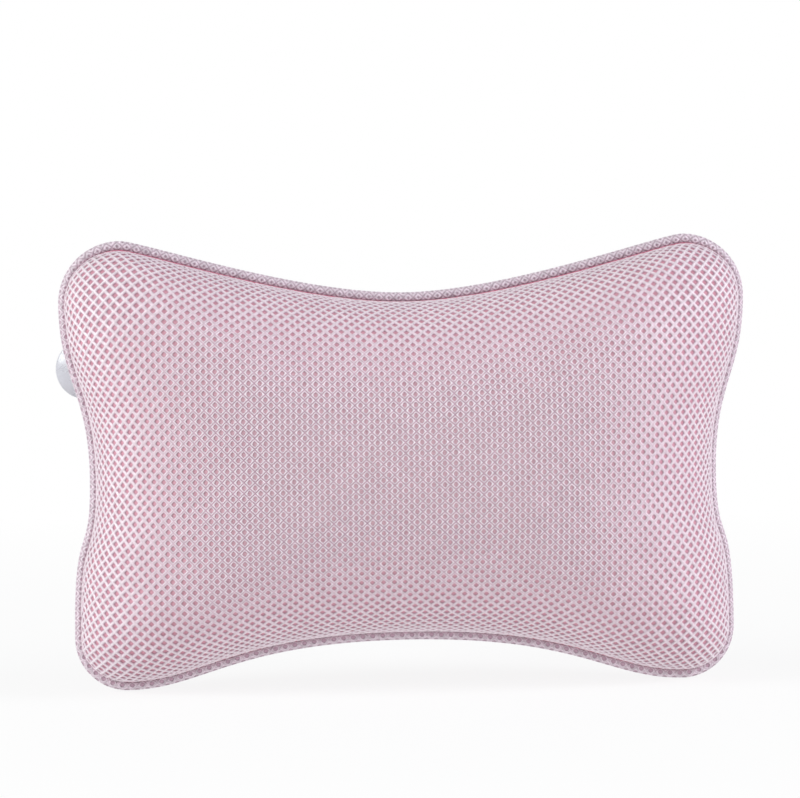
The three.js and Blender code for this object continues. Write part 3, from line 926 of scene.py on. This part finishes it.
def yarn_material(name, crest, shaded_wall, fleck):
    """Knitted yarn: painted highlight on its pale crests, painted shade deeper in its holes and grooves,
    flecked by its fine filaments.
    """
    material, tree, shader, body = new_material(name)
    middle = tuple((a + b) / 2 for a, b in zip(crest, shaded_wall))
    # Painted light: hole feet and grooves take the wall colour darkened further as painted shade, crests take
    # the pale crest colour as painted highlight
    tone = fade(tree, carried(tree, "lift", "Fac"), ((0.0, tinted(shaded_wall, 0.8)), (0.5, middle), (0.95, crest)))
    uneven = fade(tree, noise(tree, body, 70.0, 3.0), ((0.3, (0.965, 0.96, 0.965)), (0.7, WHITE)))
    flecks = fade(tree, noise(tree, body, 800.0, 3.0), ((0.38, (fleck, fleck, fleck)), (0.62, WHITE)))
    twist = wire(tree, "ShaderNodeTexWave", {
        "Vector": carried(tree, "thread", "Vector"),
        "Scale": 900.0, "Distortion": 3.0, "Detail": 2.0, "Detail Scale": 1.5,
    }, bands_direction="DIAGONAL")
    colour = multiplied(tree, multiplied(tree, tone, uneven), flecks)
    dressed(tree, shader, colour, out(twist, "Fac"), (0.35, 0.0002), (0.32, 0.46), {
        "Sheen Weight": 0.25, "Sheen Roughness": 0.5, "Specular IOR Level": 1.0,
    })
    return material


def knit_material(name, colour, edge_shade_colour):
    """Close knit of fine loops with painted shade between them, for the back layer and the welt's lining, its
    colour deeper towards the seam as painted shade.
    """
    material, tree, shader, body = new_material(name)
    loops = out(wire(tree, "ShaderNodeTexVoronoi", {
        "Vector": body, "Scale": 1300.0, "Randomness": 0.6,
    }), "Distance")
    shade = wire(tree, "ShaderNodeMath", {0: loops, 1: noise(tree, body, 90.0, 2.0)}, operation="MULTIPLY")
    base = fade(tree, carried(tree, "slack", "Fac"), ((0.0, colour), (1.0, edge_shade_colour)))
    light = fade(tree, out(shade), ((0.05, WHITE), (0.5, (0.78, 0.75, 0.76))))
    relief = dressed(tree, shader, multiplied(tree, base, light), loops, (0.4, 0.0003), 0.8, {
        "Sheen Weight": 0.2,
    })
    relief.invert = True
    return material


def webbing_material(name, colour, rib_pitch):
    """Woven tape: ribs across, with painted highlight on their crests and painted shade between them."""
    material, tree, shader, body = new_material(name)
    fibre = noise(tree, body, 1400.0, 3.0)
    # The rib height paints the colour: painted highlight on the crests, painted shade in the troughs
    tone = fade(tree, carried(tree, "weave", "Fac"), (
        (0.1, tinted(colour, 0.72)), (0.9, tinted(colour, 1.1)),
    ))
    flecks = fade(tree, fibre, ((0.3, (0.86, 0.84, 0.85)), (0.7, WHITE)))
    dressed(tree, shader, multiplied(tree, tone, flecks), fibre, (0.3, rib_pitch / 6), 0.78, {
        "Sheen Weight": 0.2,
    })
    return material


def thread_material(name, colour):
    """Twisted sewing thread, with painted shade in the grooves of its twist."""
    material, tree, shader, body = new_material(name)
    twist = out(wire(tree, "ShaderNodeTexWave", {
        "Vector": body, "Scale": 700.0, "Distortion": 1.0,
    }, bands_direction="DIAGONAL"), "Fac")
    # Painted shade: the thread darkens where its twist relief is lowest
    tone = fade(tree, twist, ((0.1, tinted(colour, 0.78)), (0.8, colour)))
    dressed(tree, shader, tone, twist, (0.4, 0.0001), 0.6)
    return material


def fibre_material(name):
    """Tangled polyester fibre."""
    material, tree, shader, body = new_material(name)
    tangle = noise(tree, body, 260.0, 6.0, 2.5)
    tone = fade(tree, tangle, ((0.25, (0.80, 0.77, 0.77)), (0.7, (0.93, 0.92, 0.92))))
    dressed(tree, shader, tone, tangle, (0.6, 0.002), 0.9)
    return material


def nickel_material(name, colour):
    """Plated brass, brushed by stamping and a little rubbed."""
    material, tree, shader, body = new_material(name)
    rubs = noise(tree, body, 900.0, 4.0)
    tone = fade(tree, rubs, ((0.3, tinted(colour, 0.86)), (0.7, colour)))
    dressed(tree, shader, tone, rubs, (0.08, 0.0001), (0.18, 0.36), {"Metallic": 1.0})
    return material


def vinyl_material(name, colour, clearness):
    """Milky clear vinyl with the faint flow lines of its mould."""
    material, tree, shader, body = new_material(name)
    flow = noise(tree, body, 220.0, 3.0, 1.0)
    tone = fade(tree, flow, ((0.3, tinted(colour, 0.94)), (0.7, colour)))
    dressed(tree, shader, tone, flow, (0.12, 0.0004), (0.22, 0.36), {
        "Transmission Weight": clearness, "IOR": 1.5, "Coat Weight": 0.1,
    })
    return material


def seen_rays(tree):
    """1 for what the camera sees, straight or by way of a glossy or clear surface, and 0 for plain light."""
    path = wire(tree, "ShaderNodeLightPath")
    seen = out(path, "Is Camera Ray")
    for kind in ("Is Glossy Ray", "Is Transmission Ray"):
        seen = out(wire(tree, "ShaderNodeMath", {0: seen, 1: out(path, kind)}, operation="MAXIMUM"))
    return seen


def floor_material():
    """Plain white sweep that keeps the pillow's shadow."""
    material, tree, shader, body = new_material("studio_floor")
    shader.inputs["Base Color"].default_value = (0.88, 0.88, 0.88, 1)
    shader.inputs["Roughness"].default_value = 0.8
    glow = wire(tree, "ShaderNodeEmission", {"Color": (*WHITE, 1), "Strength": 1.0})
    away = wire(tree, "ShaderNodeVectorMath", {0: body}, operation="LENGTH")
    clear = wire(tree, "ShaderNodeMapRange", {
        "Value": out(away, "Value"), "From Min": 0.2, "From Max": 0.8, "To Min": 0.85, "To Max": 1.0,
    })
    share = wire(tree, "ShaderNodeMapRange", {
        "Value": seen_rays(tree), "To Min": 0.9, "To Max": out(clear, "Result"),
    })
    mixed = wire(tree, "ShaderNodeMixShader", {0: out(share, "Result"), 1: out(shader), 2: out(glow)})
    tree.links.new(out(mixed), tree.nodes["Material Output"].inputs["Surface"])
    return material


def seated(piece, body, slot, *nodes):
    """The piece moves with its body and stands for its solids, which it hides; its slot is not used."""
    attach(piece, body)
    if nodes:
        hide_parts(*nodes)


class PILLOW_OT_cover(Operator):
    """Stuffs the cover and knits the net and back layer of its front and rear panels"""

    bl_idname = "bath_pillow.cover"
    bl_label = "Air Mesh Cover"

    def execute(self, context):
        settings = context.scene.bath_pillow.cover
        panels = [drawn_panel(panel) for panel in (FRONT_PANEL, REAR_PANEL)]
        split = len(panels[0][1])
        places = np.vstack([panel[1] for panel in panels])
        front, rear = panels[0][2], panels[1][2][:, ::-1] + split
        ring = np.arange(EDGE_POINTS)
        ahead = np.roll(ring, -1)
        band = np.vstack([
            np.stack([ring, ring + split, ahead], 1),
            np.stack([ahead, ring + split, ahead + split], 1),
        ])
        whole = np.vstack([front, rear, band[:, ::-1]])
        places = stuffed(places, whole, np.concatenate([ring, ring + split]), settings)
        normals = outward_normals(places, whole)
        made["cover"] = (places, whole, normals)
        made["rear_face"] = BVHTree.FromPolygons(places.tolist(), rear.tolist())

        yarn = yarn_material("air_mesh_yarn", settings.crest_colour_and_highlight, settings.wall_colour_and_shade, COVER_FLECK)
        knit = knit_material("air_mesh_ground", settings.ground_colour, settings.edge_shade_colour)
        tree = net_tree()
        made["net_tree"] = tree
        hole = (settings.hole_width, settings.hole_height)
        slack_hole = (settings.slack_hole_width, settings.slack_hole_height)
        parts = ((FRONT_PANEL, front, slice(0, split)), (REAR_PANEL, rear - split, slice(split, None)))
        for (panel, triangles, part), (layout, _, turned, slack) in zip(parts, panels):
            side = panel["side"]
            flat = flat_pattern(layout, places[part], turned) * (-panel["outward"], 1)
            sizes = (settings.pitch, settings.row)
            cell = yarn_cell(
                yarn_rings(*sizes, hole, settings.groove, settings.depth, TIGHT_YARN),
                yarn_rings(*sizes, slack_hole, settings.groove, settings.depth, SLACK_YARN),
            )
            host = net_host(f"{side}_host", places[part], triangles, normals[part], flat, FLAT_SPAN, slack)
            reach = np.abs(flat).max(0)
            net = grown(host, tree, {
                "Cell": cell,
                "Pitch": settings.pitch,
                "Row": settings.row,
                "Columns": 2 * int(reach[0] / settings.pitch) + 3,
                "Row Pairs": 2 * int(reach[1] / settings.row / 2) + 3,
                "Shift": (0.0, 0.0, 0.0),
                "Span": FLAT_SPAN,
                "Unevenness": settings.jitter,
                "Material": yarn,
            }, f"{side}_air_mesh")
            discard(cell)
            seated(net, "pillow", "air_mesh", panel["node"])
            sunk = settings.ground_depth * (GROUND_SHARE + (1 - GROUND_SHARE) * slack)
            below = places[part] - normals[part] * sunk[:, None]
            ground = mesh_object(f"{side}_mesh_ground", below, triangles, knit)
            carry(ground, "slack", slack)
            seated(ground, "pillow", "air_mesh", panel["node"])
        return {"FINISHED"}


class PILLOW_OT_piping(Operator):
    """Knits the welt round the edge over its lining and rolls the folds beside it"""

    bl_idname = "bath_pillow.piping"
    bl_label = "Piping"

    def execute(self, context):
        settings = context.scene.bath_pillow.piping
        low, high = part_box("piping_cover")
        seam = (low.y + high.y) / 2
        radius = (high.y - low.y) / 2
        edge = pillow_edge(WELT_STATIONS) * MM
        inward = inward_of(edge)
        centre = edge + inward * radius
        self.net(context, settings, centre, inward, seam, radius)

        lining = knit_material("piping_lining", settings.ground_colour, settings.ground_colour)
        inner = radius - settings.depth - WELT_GAP
        cord = mesh_object("piping_lining", *round_tube(centre, inward, seam, inner, LINING_SIDES), lining)
        seated(cord, "pillow", "cord", "piping_cord")

        # The fold is the turned-in seam allowance, coloured dark as painted shade of the crease between panel
        # and welt
        seam_shade = knit_material("seam_fold_painted_shade", settings.seam_fold_shade_colour, settings.seam_fold_shade_colour)
        for panel in (FRONT_PANEL, REAR_PANEL):
            line = edge + inward * (RIM_INSET - FOLD_SHARE * overhang_of(panel, inward)) * MM
            depth = seam + panel["outward"] * radius
            side = panel["side"]
            tube = round_tube(line, inward, depth, settings.fold_radius, FOLD_SIDES)
            seated(mesh_object(f"{side}_seam_fold", *tube, seam_shade), "pillow", "air_mesh")
        return {"FINISHED"}

    def net(self, context, settings, centre, inward, seam, radius):
        """The welt's net, knitted flat with some to spare at both ends and rolled round the cord."""
        lengths = np.linalg.norm(np.roll(centre, -1, 0) - centre, axis=1)
        around = float(lengths.sum())
        columns = round(around / settings.pitch)
        pitch = around / columns
        row = math.pi * radius / settings.cells_round
        stations = np.arange(-SPARE_STATIONS, WELT_STATIONS + SPARE_STATIONS + 1)
        laps, stops = np.divmod(stations, WELT_STATIONS)
        travel = np.concatenate([[0], np.cumsum(lengths)])
        reach = travel[stops] + around * laps
        turns = np.arange(-SPARE_SIDES, WELT_SIDES + SPARE_SIDES + 1) * 2 * math.pi / WELT_SIDES
        spine, inner = centre[stops], inward[stops]
        normals = spokes(inner, -turns)
        shape = normals.shape[:2]
        flat = np.stack([
            np.broadcast_to((reach - around / 2)[:, None], shape),
            np.broadcast_to((turns - math.pi) * radius, shape),
        ], 2)
        slack = np.broadcast_to(smoothstep(0.5 + WELT_OPENING * inner[:, 1:]), shape)
        grid = np.arange(shape[0] * shape[1]).reshape(shape)
        quads = np.stack([grid[:-1, :-1], grid[1:, :-1], grid[1:, 1:], grid[:-1, 1:]], 2).reshape(-1, 4)
        hole = settings.hole
        closed = hole * CLOSED_HOLE
        cell = yarn_cell(
            yarn_rings(pitch, row, (closed, closed), settings.groove, settings.depth, CLOSED_YARN),
            yarn_rings(pitch, row, (hole, hole), settings.groove, settings.depth, DOTTED_YARN),
        )
        host = net_host(
            "piping_host",
            (at_depth(spine, seam) + normals * radius).reshape(-1, 3),
            quads,
            normals.reshape(-1, 3),
            flat.reshape(-1, 2),
            PIPING_SPAN,
            slack.ravel(),
        )
        net = grown(host, made["net_tree"], {
            "Cell": cell,
            "Pitch": pitch,
            "Row": row,
            "Columns": columns,
            "Row Pairs": settings.cells_round,
            "Shift": (0.0, row / 2, 0.0),
            "Span": PIPING_SPAN,
            "Unevenness": context.scene.bath_pillow.cover.jitter * WELT_STRAY,
            "Material": yarn_material(
                "piping_yarn", settings.crest_colour_and_highlight, settings.wall_colour_and_shade, PIPING_FLECK,
            ),
        }, "piping_air_mesh")
        discard(cell)
        seated(net, "pillow", "piping_mesh", "piping_cover")


class PILLOW_OT_filling(Operator):
    """Packs the fibre inside the cover"""

    bl_idname = "bath_pillow.filling"
    bl_label = "Fibre Filling"

    def execute(self, context):
        places, whole, normals = made["cover"]
        lumps = np.prod([np.sin(places @ np.array(wave)) for wave in LUMP_WAVES], axis=0)
        inside = places - normals * (FIBRE_DEPTH + FIBRE_LUMPS * lumps)[:, None]
        filling = mesh_object("fibre_stuffing", inside, whole, fibre_material("tangled_fibre"))
        seated(filling, "pillow", "fibre", "fibre_filling")
        return {"FINISHED"}


def stitch_tree():
    """Stitches of one length laid end to end along edges."""
    tree, given = new_tree("stitch_row", (
        ("Stitch", "NodeSocketObject"),
        ("Spacing", "NodeSocketFloat"),
        ("Material", "NodeSocketMaterial"),
    ))
    line = wire(tree, "GeometryNodeMeshToCurve", {"Mesh": given.outputs["Geometry"]})
    spaced = wire(tree, "GeometryNodeCurveToPoints", {
        "Curve": out(line), "Length": given.outputs["Spacing"],
    }, mode="LENGTH")
    stitch = wire(tree, "GeometryNodeObjectInfo", {"Object": given.outputs["Stitch"]})
    turned = wire(tree, "FunctionNodeAlignRotationToVector", {"Vector": out(spaced, "Tangent")}, axis="X")
    laid = wire(tree, "GeometryNodeInstanceOnPoints", {
        "Points": out(spaced, "Points"), "Instance": out(stitch, "Geometry"), "Rotation": out(turned),
    })
    real = wire(tree, "GeometryNodeRealizeInstances", {"Geometry": out(laid)})
    coloured = wire(tree, "GeometryNodeSetMaterial", {
        "Geometry": out(real), "Material": given.outputs["Material"],
    })
    wire(tree, "NodeGroupOutput", {"Geometry": out(coloured)})
    return tree


def stitch_shape(span, thickness):
    """One stitch: a plump length of thread that thins towards both ends."""
    stations = ((-0.5, 0.2), (-0.38, 0.8), (0.0, 1.0), (0.38, 0.8), (0.5, 0.2))
    sides = 6
    turns = np.arange(sides) * 2 * math.pi / sides
    places, faces = [], []
    for along, girth in stations:
        radius = girth * thickness / 2
        places += [(along * span, math.cos(turn) * radius, math.sin(turn) * radius) for turn in turns]
    for s in range(len(stations) - 1):
        for k in range(sides):
            n = (k + 1) % sides
            faces.append((s * sides + k, s * sides + n, (s + 1) * sides + n, (s + 1) * sides + k))
    faces.append(tuple(range(sides)))
    faces.append(tuple(reversed(range((len(stations) - 1) * sides, len(stations) * sides))))
    return mesh_object("stitch_shape", places, faces)


class PILLOW_OT_tabs(Operator):
    """Weaves the cloth tabs and stitches them to the rear panel"""

    bl_idname = "bath_pillow.tabs"
    bl_label = "Cloth Tabs"

    def execute(self, context):
        settings = context.scene.bath_pillow.tabs
        webbing = webbing_material("tab_webbing", settings.colour, settings.rib_pitch)
        thread = thread_material("sewing_thread", settings.thread_colour)
        stitches = stitch_tree()
        for side, sign in SIDES.items():
            sizes = self.measures(side, sign)
            self.tab(side, sizes, settings, webbing)
            self.stitching(side, sizes, settings, thread, stitches)
        return {"FINISHED"}

    def measures(self, side, sign):
        """A tab's sizes and places, measured outwards from the pillow's middle."""
        free_low, free_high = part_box(f"{side}_tab")
        sewn_low, sewn_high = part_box(f"{side}_tab_sewn_end")
        return SimpleNamespace(
            sign=sign,
            inner=min(abs(sewn_low.x), abs(sewn_high.x)),
            fold=min(abs(free_low.x), abs(free_high.x)),
            tip=max(abs(free_low.x), abs(free_high.x)),
            middle=(free_low.z + free_high.z) / 2,
            half=(free_high.z - free_low.z) / 2,
            level=(free_low.y + free_high.y) / 2,
            thick=free_high.y - free_low.y,
        )

    def rear_height(self, x, z):
        hit = made["rear_face"].ray_cast(Vector((x, REAR_PROBE, z)), Vector((0, -1, 0)))
        if hit[0] is None:
            raise RuntimeError("a tab lies off the rear panel")
        return hit[0].y

    def middle_line(self, sizes, places, z):
        """Depth of the tab's middle layer: on the rear panel up to the fold, then level out to the cup."""
        sewn = np.array([
            self.rear_height(sizes.sign * min(x, sizes.fold), height) for x, height in zip(places, z)
        ]) + sizes.thick / 2 + TAB_GAP
        lifted = smoothstep((places - (sizes.fold - TAB_LIFT_START)) / TAB_LIFT_LENGTH)
        return sewn * (1 - lifted) + sizes.level * lifted

    def cut(self, sizes):
        """The tab laid flat: its points, outline first, and its triangles, with the eye left open."""
        eye = sizes.tip - sizes.half
        run = np.arange(sizes.inner, eye, TAB_SPACING)
        lower = np.stack([run, np.full(len(run), -sizes.half)], 1)
        end = np.linspace(sizes.half, -sizes.half, TAB_END_STEPS + 1)[1:-1]
        outline = np.vstack([
            lower,
            arc((eye, 0), sizes.half, -90, 90, 48),
            lower[::-1] * (1, -1),
            np.stack([np.full(len(end), sizes.inner), end], 1),
        ])
        rim = arc((eye, 0), TAB_EYE, 0, 360, 40)[:-1]
        across = np.arange(sizes.inner + TAB_SPACING, sizes.tip, TAB_SPACING)
        up = np.arange(-sizes.half + TAB_SPACING, sizes.half, TAB_SPACING)
        lattice = np.array([(x, z) for x in across for z in up])
        from_eye = np.linalg.norm(lattice - (eye, 0), axis=1)
        clear = in_loop(lattice, outline)
        clear &= from_eye > TAB_EYE + TAB_SPACING * TAB_CLEAR_SHARE
        clear &= (lattice[:, 0] < eye) | (from_eye < sizes.half - TAB_SPACING * TAB_CLEAR_SHARE)
        points = np.vstack([outline, rim, lattice[clear]])
        triangles = triangulated(points, len(outline))
        centres = points[triangles].mean(1)
        return points, triangles[np.linalg.norm(centres - (eye, 0), axis=1) > TAB_EYE * 0.99]

    def tab(self, side, sizes, settings, webbing):
        points, triangles = self.cut(sizes)
        along, up = points[:, 0], points[:, 1]
        eye = sizes.tip - sizes.half
        to_edge = np.minimum(sizes.half - np.abs(up), along - sizes.inner)
        beyond = along > eye
        to_edge[beyond] = sizes.half - np.linalg.norm(points[beyond] - (eye, 0), axis=1)
        rounding = np.sqrt(np.clip(1 - (1 - np.clip(to_edge / TAB_ROUNDING, 0, 1)) ** 2, 0.04, 1))
        ribs = np.cos(2 * math.pi * along / settings.rib_pitch)
        warp = np.cos(2 * math.pi * up / (settings.rib_pitch * WARP_RATIO))
        weave = ribs * warp
        level_up = up + sizes.middle
        height = self.middle_line(sizes, along, level_up)
        slope = (self.middle_line(sizes, along + TAB_PROBE, level_up) - height) / TAB_PROBE
        lean = unit(np.stack([-slope, np.ones(len(slope))], 1))
        bulk = rounding * (sizes.thick / 2 - settings.weave)
        layers = []
        for face in (1, -1):
            offset = face * (bulk + settings.weave * weave * face * rounding)
            layers.append(np.stack([
                sizes.sign * (along + lean[:, 0] * offset), height + lean[:, 1] * offset, level_up,
            ], 1))
        count = len(points)
        edges = dict.fromkeys(pair for a, b, c in triangles for pair in ((a, b), (b, c), (c, a)))
        walls = [(a, b) for a, b in edges if (b, a) not in edges]
        faces = [tuple(t) for t in triangles] + [tuple(t[::-1] + count) for t in triangles]
        faces += [(b, a, a + count, b + count) for a, b in walls]
        if sizes.sign > 0:
            faces = [face[::-1] for face in faces]
        tab = mesh_object(f"{side}_tab_webbing", np.vstack(layers), faces, webbing)
        carry(tab, "weave", np.tile(weave * 0.5 + 0.5, 2))
        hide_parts(f"{side}_tab", f"{side}_tab_sewn_end")
        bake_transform(tab)

    def stitching(self, side, sizes, settings, thread, tree):
        """A sewn box with its cross, on the end that is held down."""
        near, far = sizes.inner + STITCH_INSET, sizes.fold - STITCH_SETBACK
        wide = sizes.half - STITCH_MARGIN
        corners = [(near, -wide), (far, -wide), (far, wide), (near, wide)]
        runs = list(zip(corners, corners[1:] + corners[:1]))
        runs += [(corners[0], corners[2]), (corners[1], corners[3])]
        places, lines = [], []
        for (x0, z0), (x1, z1) in runs:
            first = len(places)
            for t in np.linspace(0, 1, RUN_POINTS):
                x, z = x0 + (x1 - x0) * t, z0 + (z1 - z0) * t + sizes.middle
                depth = self.middle_line(sizes, np.array([x]), np.array([z]))[0]
                places.append((sizes.sign * x, depth + sizes.thick / 2 + THREAD_LIFT, z))
            lines += [(first + i, first + i + 1) for i in range(RUN_POINTS - 1)]
        mesh = bpy.data.meshes.new("stitch_lines")
        mesh.from_pydata(places, lines, [])
        host = placed("stitch_lines", mesh)
        shape = stitch_shape(settings.stitch * STITCH_SHARE, THREAD_THICKNESS)
        piece = grown(host, tree, {
            "Stitch": shape, "Spacing": settings.stitch, "Material": thread,
        }, f"{side}_tab_stitches")
        discard(shape)
        piece.data.polygons.foreach_set("use_smooth", [True] * len(piece.data.polygons))
        seated(piece, "pillow", "tab_cloth")


def turned_piece(name, profile, centre, material, sides=64, closed=False):
    """A piece turned about a cup's axis from (radius, height over the wall) points."""
    turns = np.arange(sides) * 2 * math.pi / sides
    places, rows = [], []
    for radius, height in profile:
        if radius < 1e-7:
            rows.append([len(places)] * sides)
            places.append((centre[0], -height, centre[1]))
            continue
        rows.append(list(range(len(places), len(places) + sides)))
        places += [
            (centre[0] + radius * math.cos(t), -height, centre[1] + radius * math.sin(t)) for t in turns
        ]
    pairs = list(zip(rows, rows[1:] + rows[:1])) if closed else list(zip(rows, rows[1:]))
    faces = []
    for here, ahead in pairs:
        for k in range(sides):
            n = (k + 1) % sides
            corners = [here[k], here[n], ahead[n], ahead[k]]
            faces.append(tuple(dict.fromkeys(corners)))
    return mesh_object(name, places, faces, material)


def rounded_ring(inner, outer, low, high, bevel):
    """Section of a ring with rounded edges."""
    corners = ((outer, low, -90), (outer, high, 0), (inner, high, 90), (inner, low, 180))
    points = []
    for x, y, start in corners:
        centre = (x - bevel if x == outer else x + bevel, y + bevel if y == low else y - bevel)
        points += [tuple(p) for p in arc(centre, bevel, start, start + 90, 4)]
    return points


class PILLOW_OT_eyelets(Operator):
    """Turns the nickel eyelets and their washers"""

    bl_idname = "bath_pillow.eyelets"
    bl_label = "Eyelets"

    def execute(self, context):
        nickel = nickel_material("plated_nickel", context.scene.bath_pillow.cups.nickel_colour)
        for side in SIDES:
            low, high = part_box(f"{side}_eyelet")
            centre = ((low.x + high.x) / 2, (low.z + high.z) / 2)
            flange = (high.x - low.x) / 2
            bore, barrel, roll = EYELET_BORE, EYELET_BARREL, EYELET_ROLL
            near, far = -high.y, -low.y
            section = [
                (bore + 0.0002, near + 0.0003), (bore + 0.0006, near + 0.00005), (bore + 0.0012, near),
                (flange - 0.0006, near), (flange - 0.0002, near + 0.0001), (flange, near + 0.0004),
                (flange - 0.0001, near + 0.0007), (flange - 0.0004, near + 0.0008),
                (barrel + 0.0002, near + 0.0008), (barrel, near + 0.001),
                (barrel, far - 0.0007), (barrel + 0.00005, far - 0.0006),
                (roll - 0.0002, far - 0.0006), (roll, far - 0.0004), (roll - 0.0001, far - 0.0001),
                (roll - 0.0004, far), (bore + 0.0004, far), (bore + 0.0001, far - 0.0002),
                (bore, far - 0.0005), (bore, near + 0.0008),
            ]
            eyelet = turned_piece(f"{side}_eyelet_barrel", section, centre, nickel, closed=True)
            seated(eyelet, f"{side}_tab", "eyelet_nickel", f"{side}_eyelet")
            low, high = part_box(f"{side}_eyelet_washer")
            outer = (high.x - low.x) / 2
            section = rounded_ring(outer - WASHER_WIDTH, outer, -high.y, -low.y, WASHER_BEVEL)
            washer = turned_piece(f"{side}_eyelet_back_ring", section, centre, nickel, closed=True)
            seated(washer, f"{side}_tab", "eyelet_nickel", f"{side}_eyelet_washer")
        return {"FINISHED"}


class PILLOW_OT_cups(Operator):
    """Moulds the suction cups"""

    bl_idname = "bath_pillow.cups"
    bl_label = "Suction Cups"

    def execute(self, context):
        settings = context.scene.bath_pillow.cups
        vinyl = vinyl_material("cup_vinyl", settings.colour, settings.clearness)
        for side in SIDES:
            low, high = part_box(f"{side}_suction_cup")
            centre = ((low.x + high.x) / 2, (low.z + high.z) / 2)
            # The section in millimetres, from the middle of the hollow over the rim to the head's top
            radius = (high.x - low.x) / 2 / MM
            top = -low.y / MM
            inside = bezier((0, 3.6), (6.5, 3.6), (9.5, 1.4), (radius - 1.8, 0.05), 16)
            rim = [(radius - 1.2, 0.0), (radius - 0.3, 0.0), (radius, 0.3), (radius - 0.05, 0.7)]
            dome = bezier((radius - 0.3, 1.0), (10.6, 3.2), (7.6, 4.6), (4.9, 6.4), 16)
            shoulder = [(4.5, 6.9), (4.3, 7.2), (3.9, 7.45), (3.2, 7.5), (2.6, 7.6), (2.35, 7.9)]
            neck = [(2.3, 8.4), (2.3, 12.2), (2.4, 12.5)]
            head = [(2.8, 12.62), (3.9, 12.65), (4.25, 12.95), (4.3, 13.5)]
            cap = bezier((4.1, 14.1), (3.5, top - 0.1), (1.6, top), (0, top), 8)
            profile = np.vstack([inside, rim, dome, shoulder, neck, head, cap]) * MM
            cup = turned_piece(f"{side}_clear_cup", [tuple(p) for p in profile], centre, vinyl, sides=72)
            seated(cup, f"{side}_cup", "cup_vinyl", f"{side}_suction_cup")
        return {"FINISHED"}


class PILLOW_OT_stage(Operator):
    """Sets the floor, the lights and the camera"""

    bl_idname = "bath_pillow.stage"
    bl_label = "Stage"

    def execute(self, context):
        scene = context.scene
        settings = scene.bath_pillow.stage
        scene.view_settings.view_transform = "Standard"
        low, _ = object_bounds()
        corners = [
            (x * FLOOR_HALF, y * FLOOR_HALF, low.z - FLOOR_GAP)
            for x, y in ((-1, -1), (1, -1), (1, 1), (-1, 1))
        ]
        floor = mesh_object("studio_floor", corners, [(0, 1, 2, 3)], floor_material(), smooth=False)
        floor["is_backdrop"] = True
        self.room_light(scene, settings.ambient)
        target = Vector(TARGET)
        across, ahead, up = LAMP_PLACE
        self.lamp("key_light", (-across, ahead, up), settings.key_power, settings.key_colour, target)
        self.lamp("fill_light", (across, ahead, up), settings.fill_power, settings.fill_colour, target)
        self.camera(scene, settings, target)
        return {"FINISHED"}

    def room_light(self, scene, strength):
        world = bpy.data.worlds.new("studio")
        world.use_nodes = True
        scene.world = world
        tree = world.node_tree
        tree.nodes.clear()
        even = wire(tree, "ShaderNodeBackground", {"Color": (*WHITE, 1), "Strength": strength})
        seen = wire(tree, "ShaderNodeBackground", {"Color": (*WHITE, 1), "Strength": 1.0})
        mixed = wire(tree, "ShaderNodeMixShader", {0: seen_rays(tree), 1: out(even), 2: out(seen)})
        wire(tree, "ShaderNodeOutputWorld", {"Surface": out(mixed)})

    def lamp(self, name, place, watts, colour, target):
        light = bpy.data.lights.new(name, "AREA")
        light.shape = "DISK"
        light.size = LAMP_WIDTH
        light.energy = watts
        light.color = colour
        lamp = placed(name, light)
        lamp.location = place
        lamp.rotation_euler = (target - Vector(place)).to_track_quat("-Z", "Y").to_euler()

    def camera(self, scene, settings, target):
        """Looks from the photograph's angle, aimed over the pillow so that it sits low in the frame."""
        turn, tilt, roll = settings.azimuth, settings.elevation, settings.roll
        back = Vector((math.sin(turn) * math.cos(tilt), -math.cos(turn) * math.cos(tilt), math.sin(tilt)))
        right = Vector((math.cos(turn), math.sin(turn), 0))
        up = back.cross(right)
        place = target + back * settings.distance
        aim = target + up * AIM_OVER - right * AIM_ASIDE
        lens = bpy.data.cameras.new("camera")
        lens.lens = settings.lens
        lens.sensor_width = 36
        lens.clip_start, lens.clip_end = 0.05, 20
        camera = placed("camera", lens)
        look = (place - aim).normalized()
        side = Vector((0, 0, 1)).cross(look).normalized()
        over = look.cross(side)
        across = side * math.cos(roll) - over * math.sin(roll)
        upright = side * math.sin(roll) + over * math.cos(roll)
        axes = Matrix((across, upright, look)).transposed().to_4x4()
        axes.translation = place
        camera.matrix_world = axes
        scene.camera = camera


STEPS = (
    PILLOW_OT_cover, PILLOW_OT_piping, PILLOW_OT_filling, PILLOW_OT_tabs,
    PILLOW_OT_eyelets, PILLOW_OT_cups, PILLOW_OT_stage,
)


class PILLOW_PT_steps(Panel):
    """Lists the pillow's settings and the steps that build it"""

    bl_idname = "PILLOW_PT_steps"
    bl_label = "Bath Pillow"
    bl_space_type = "VIEW_3D"
    bl_region_type = "UI"
    bl_category = "Bath Pillow"

    def draw(self, context):
        pillow = context.scene.bath_pillow
        for group in (pillow.cover, pillow.piping, pillow.tabs, pillow.cups, pillow.stage):
            box = self.layout.box()
            for name in group.__annotations__:
                box.prop(group, name)
        for step in STEPS:
            self.layout.operator(step.bl_idname)


CLASSES = (
    CoverSettings, PipingSettings, TabSettings, CupSettings, StageSettings, PillowSettings,
    *STEPS, PILLOW_PT_steps,
)


def register():
    for each in CLASSES:
        bpy.utils.register_class(each)
    bpy.types.Scene.bath_pillow = PointerProperty(type=PillowSettings)


def unregister():
    del bpy.types.Scene.bath_pillow
    for each in reversed(CLASSES):
        bpy.utils.unregister_class(each)


def main():
    register()
    bpy.ops.bath_pillow.cover()
    bpy.ops.bath_pillow.piping()
    bpy.ops.bath_pillow.filling()
    bpy.ops.bath_pillow.tabs()
    bpy.ops.bath_pillow.eyelets()
    bpy.ops.bath_pillow.cups()
    bpy.ops.bath_pillow.stage()


if __name__ == "__main__":
    main()
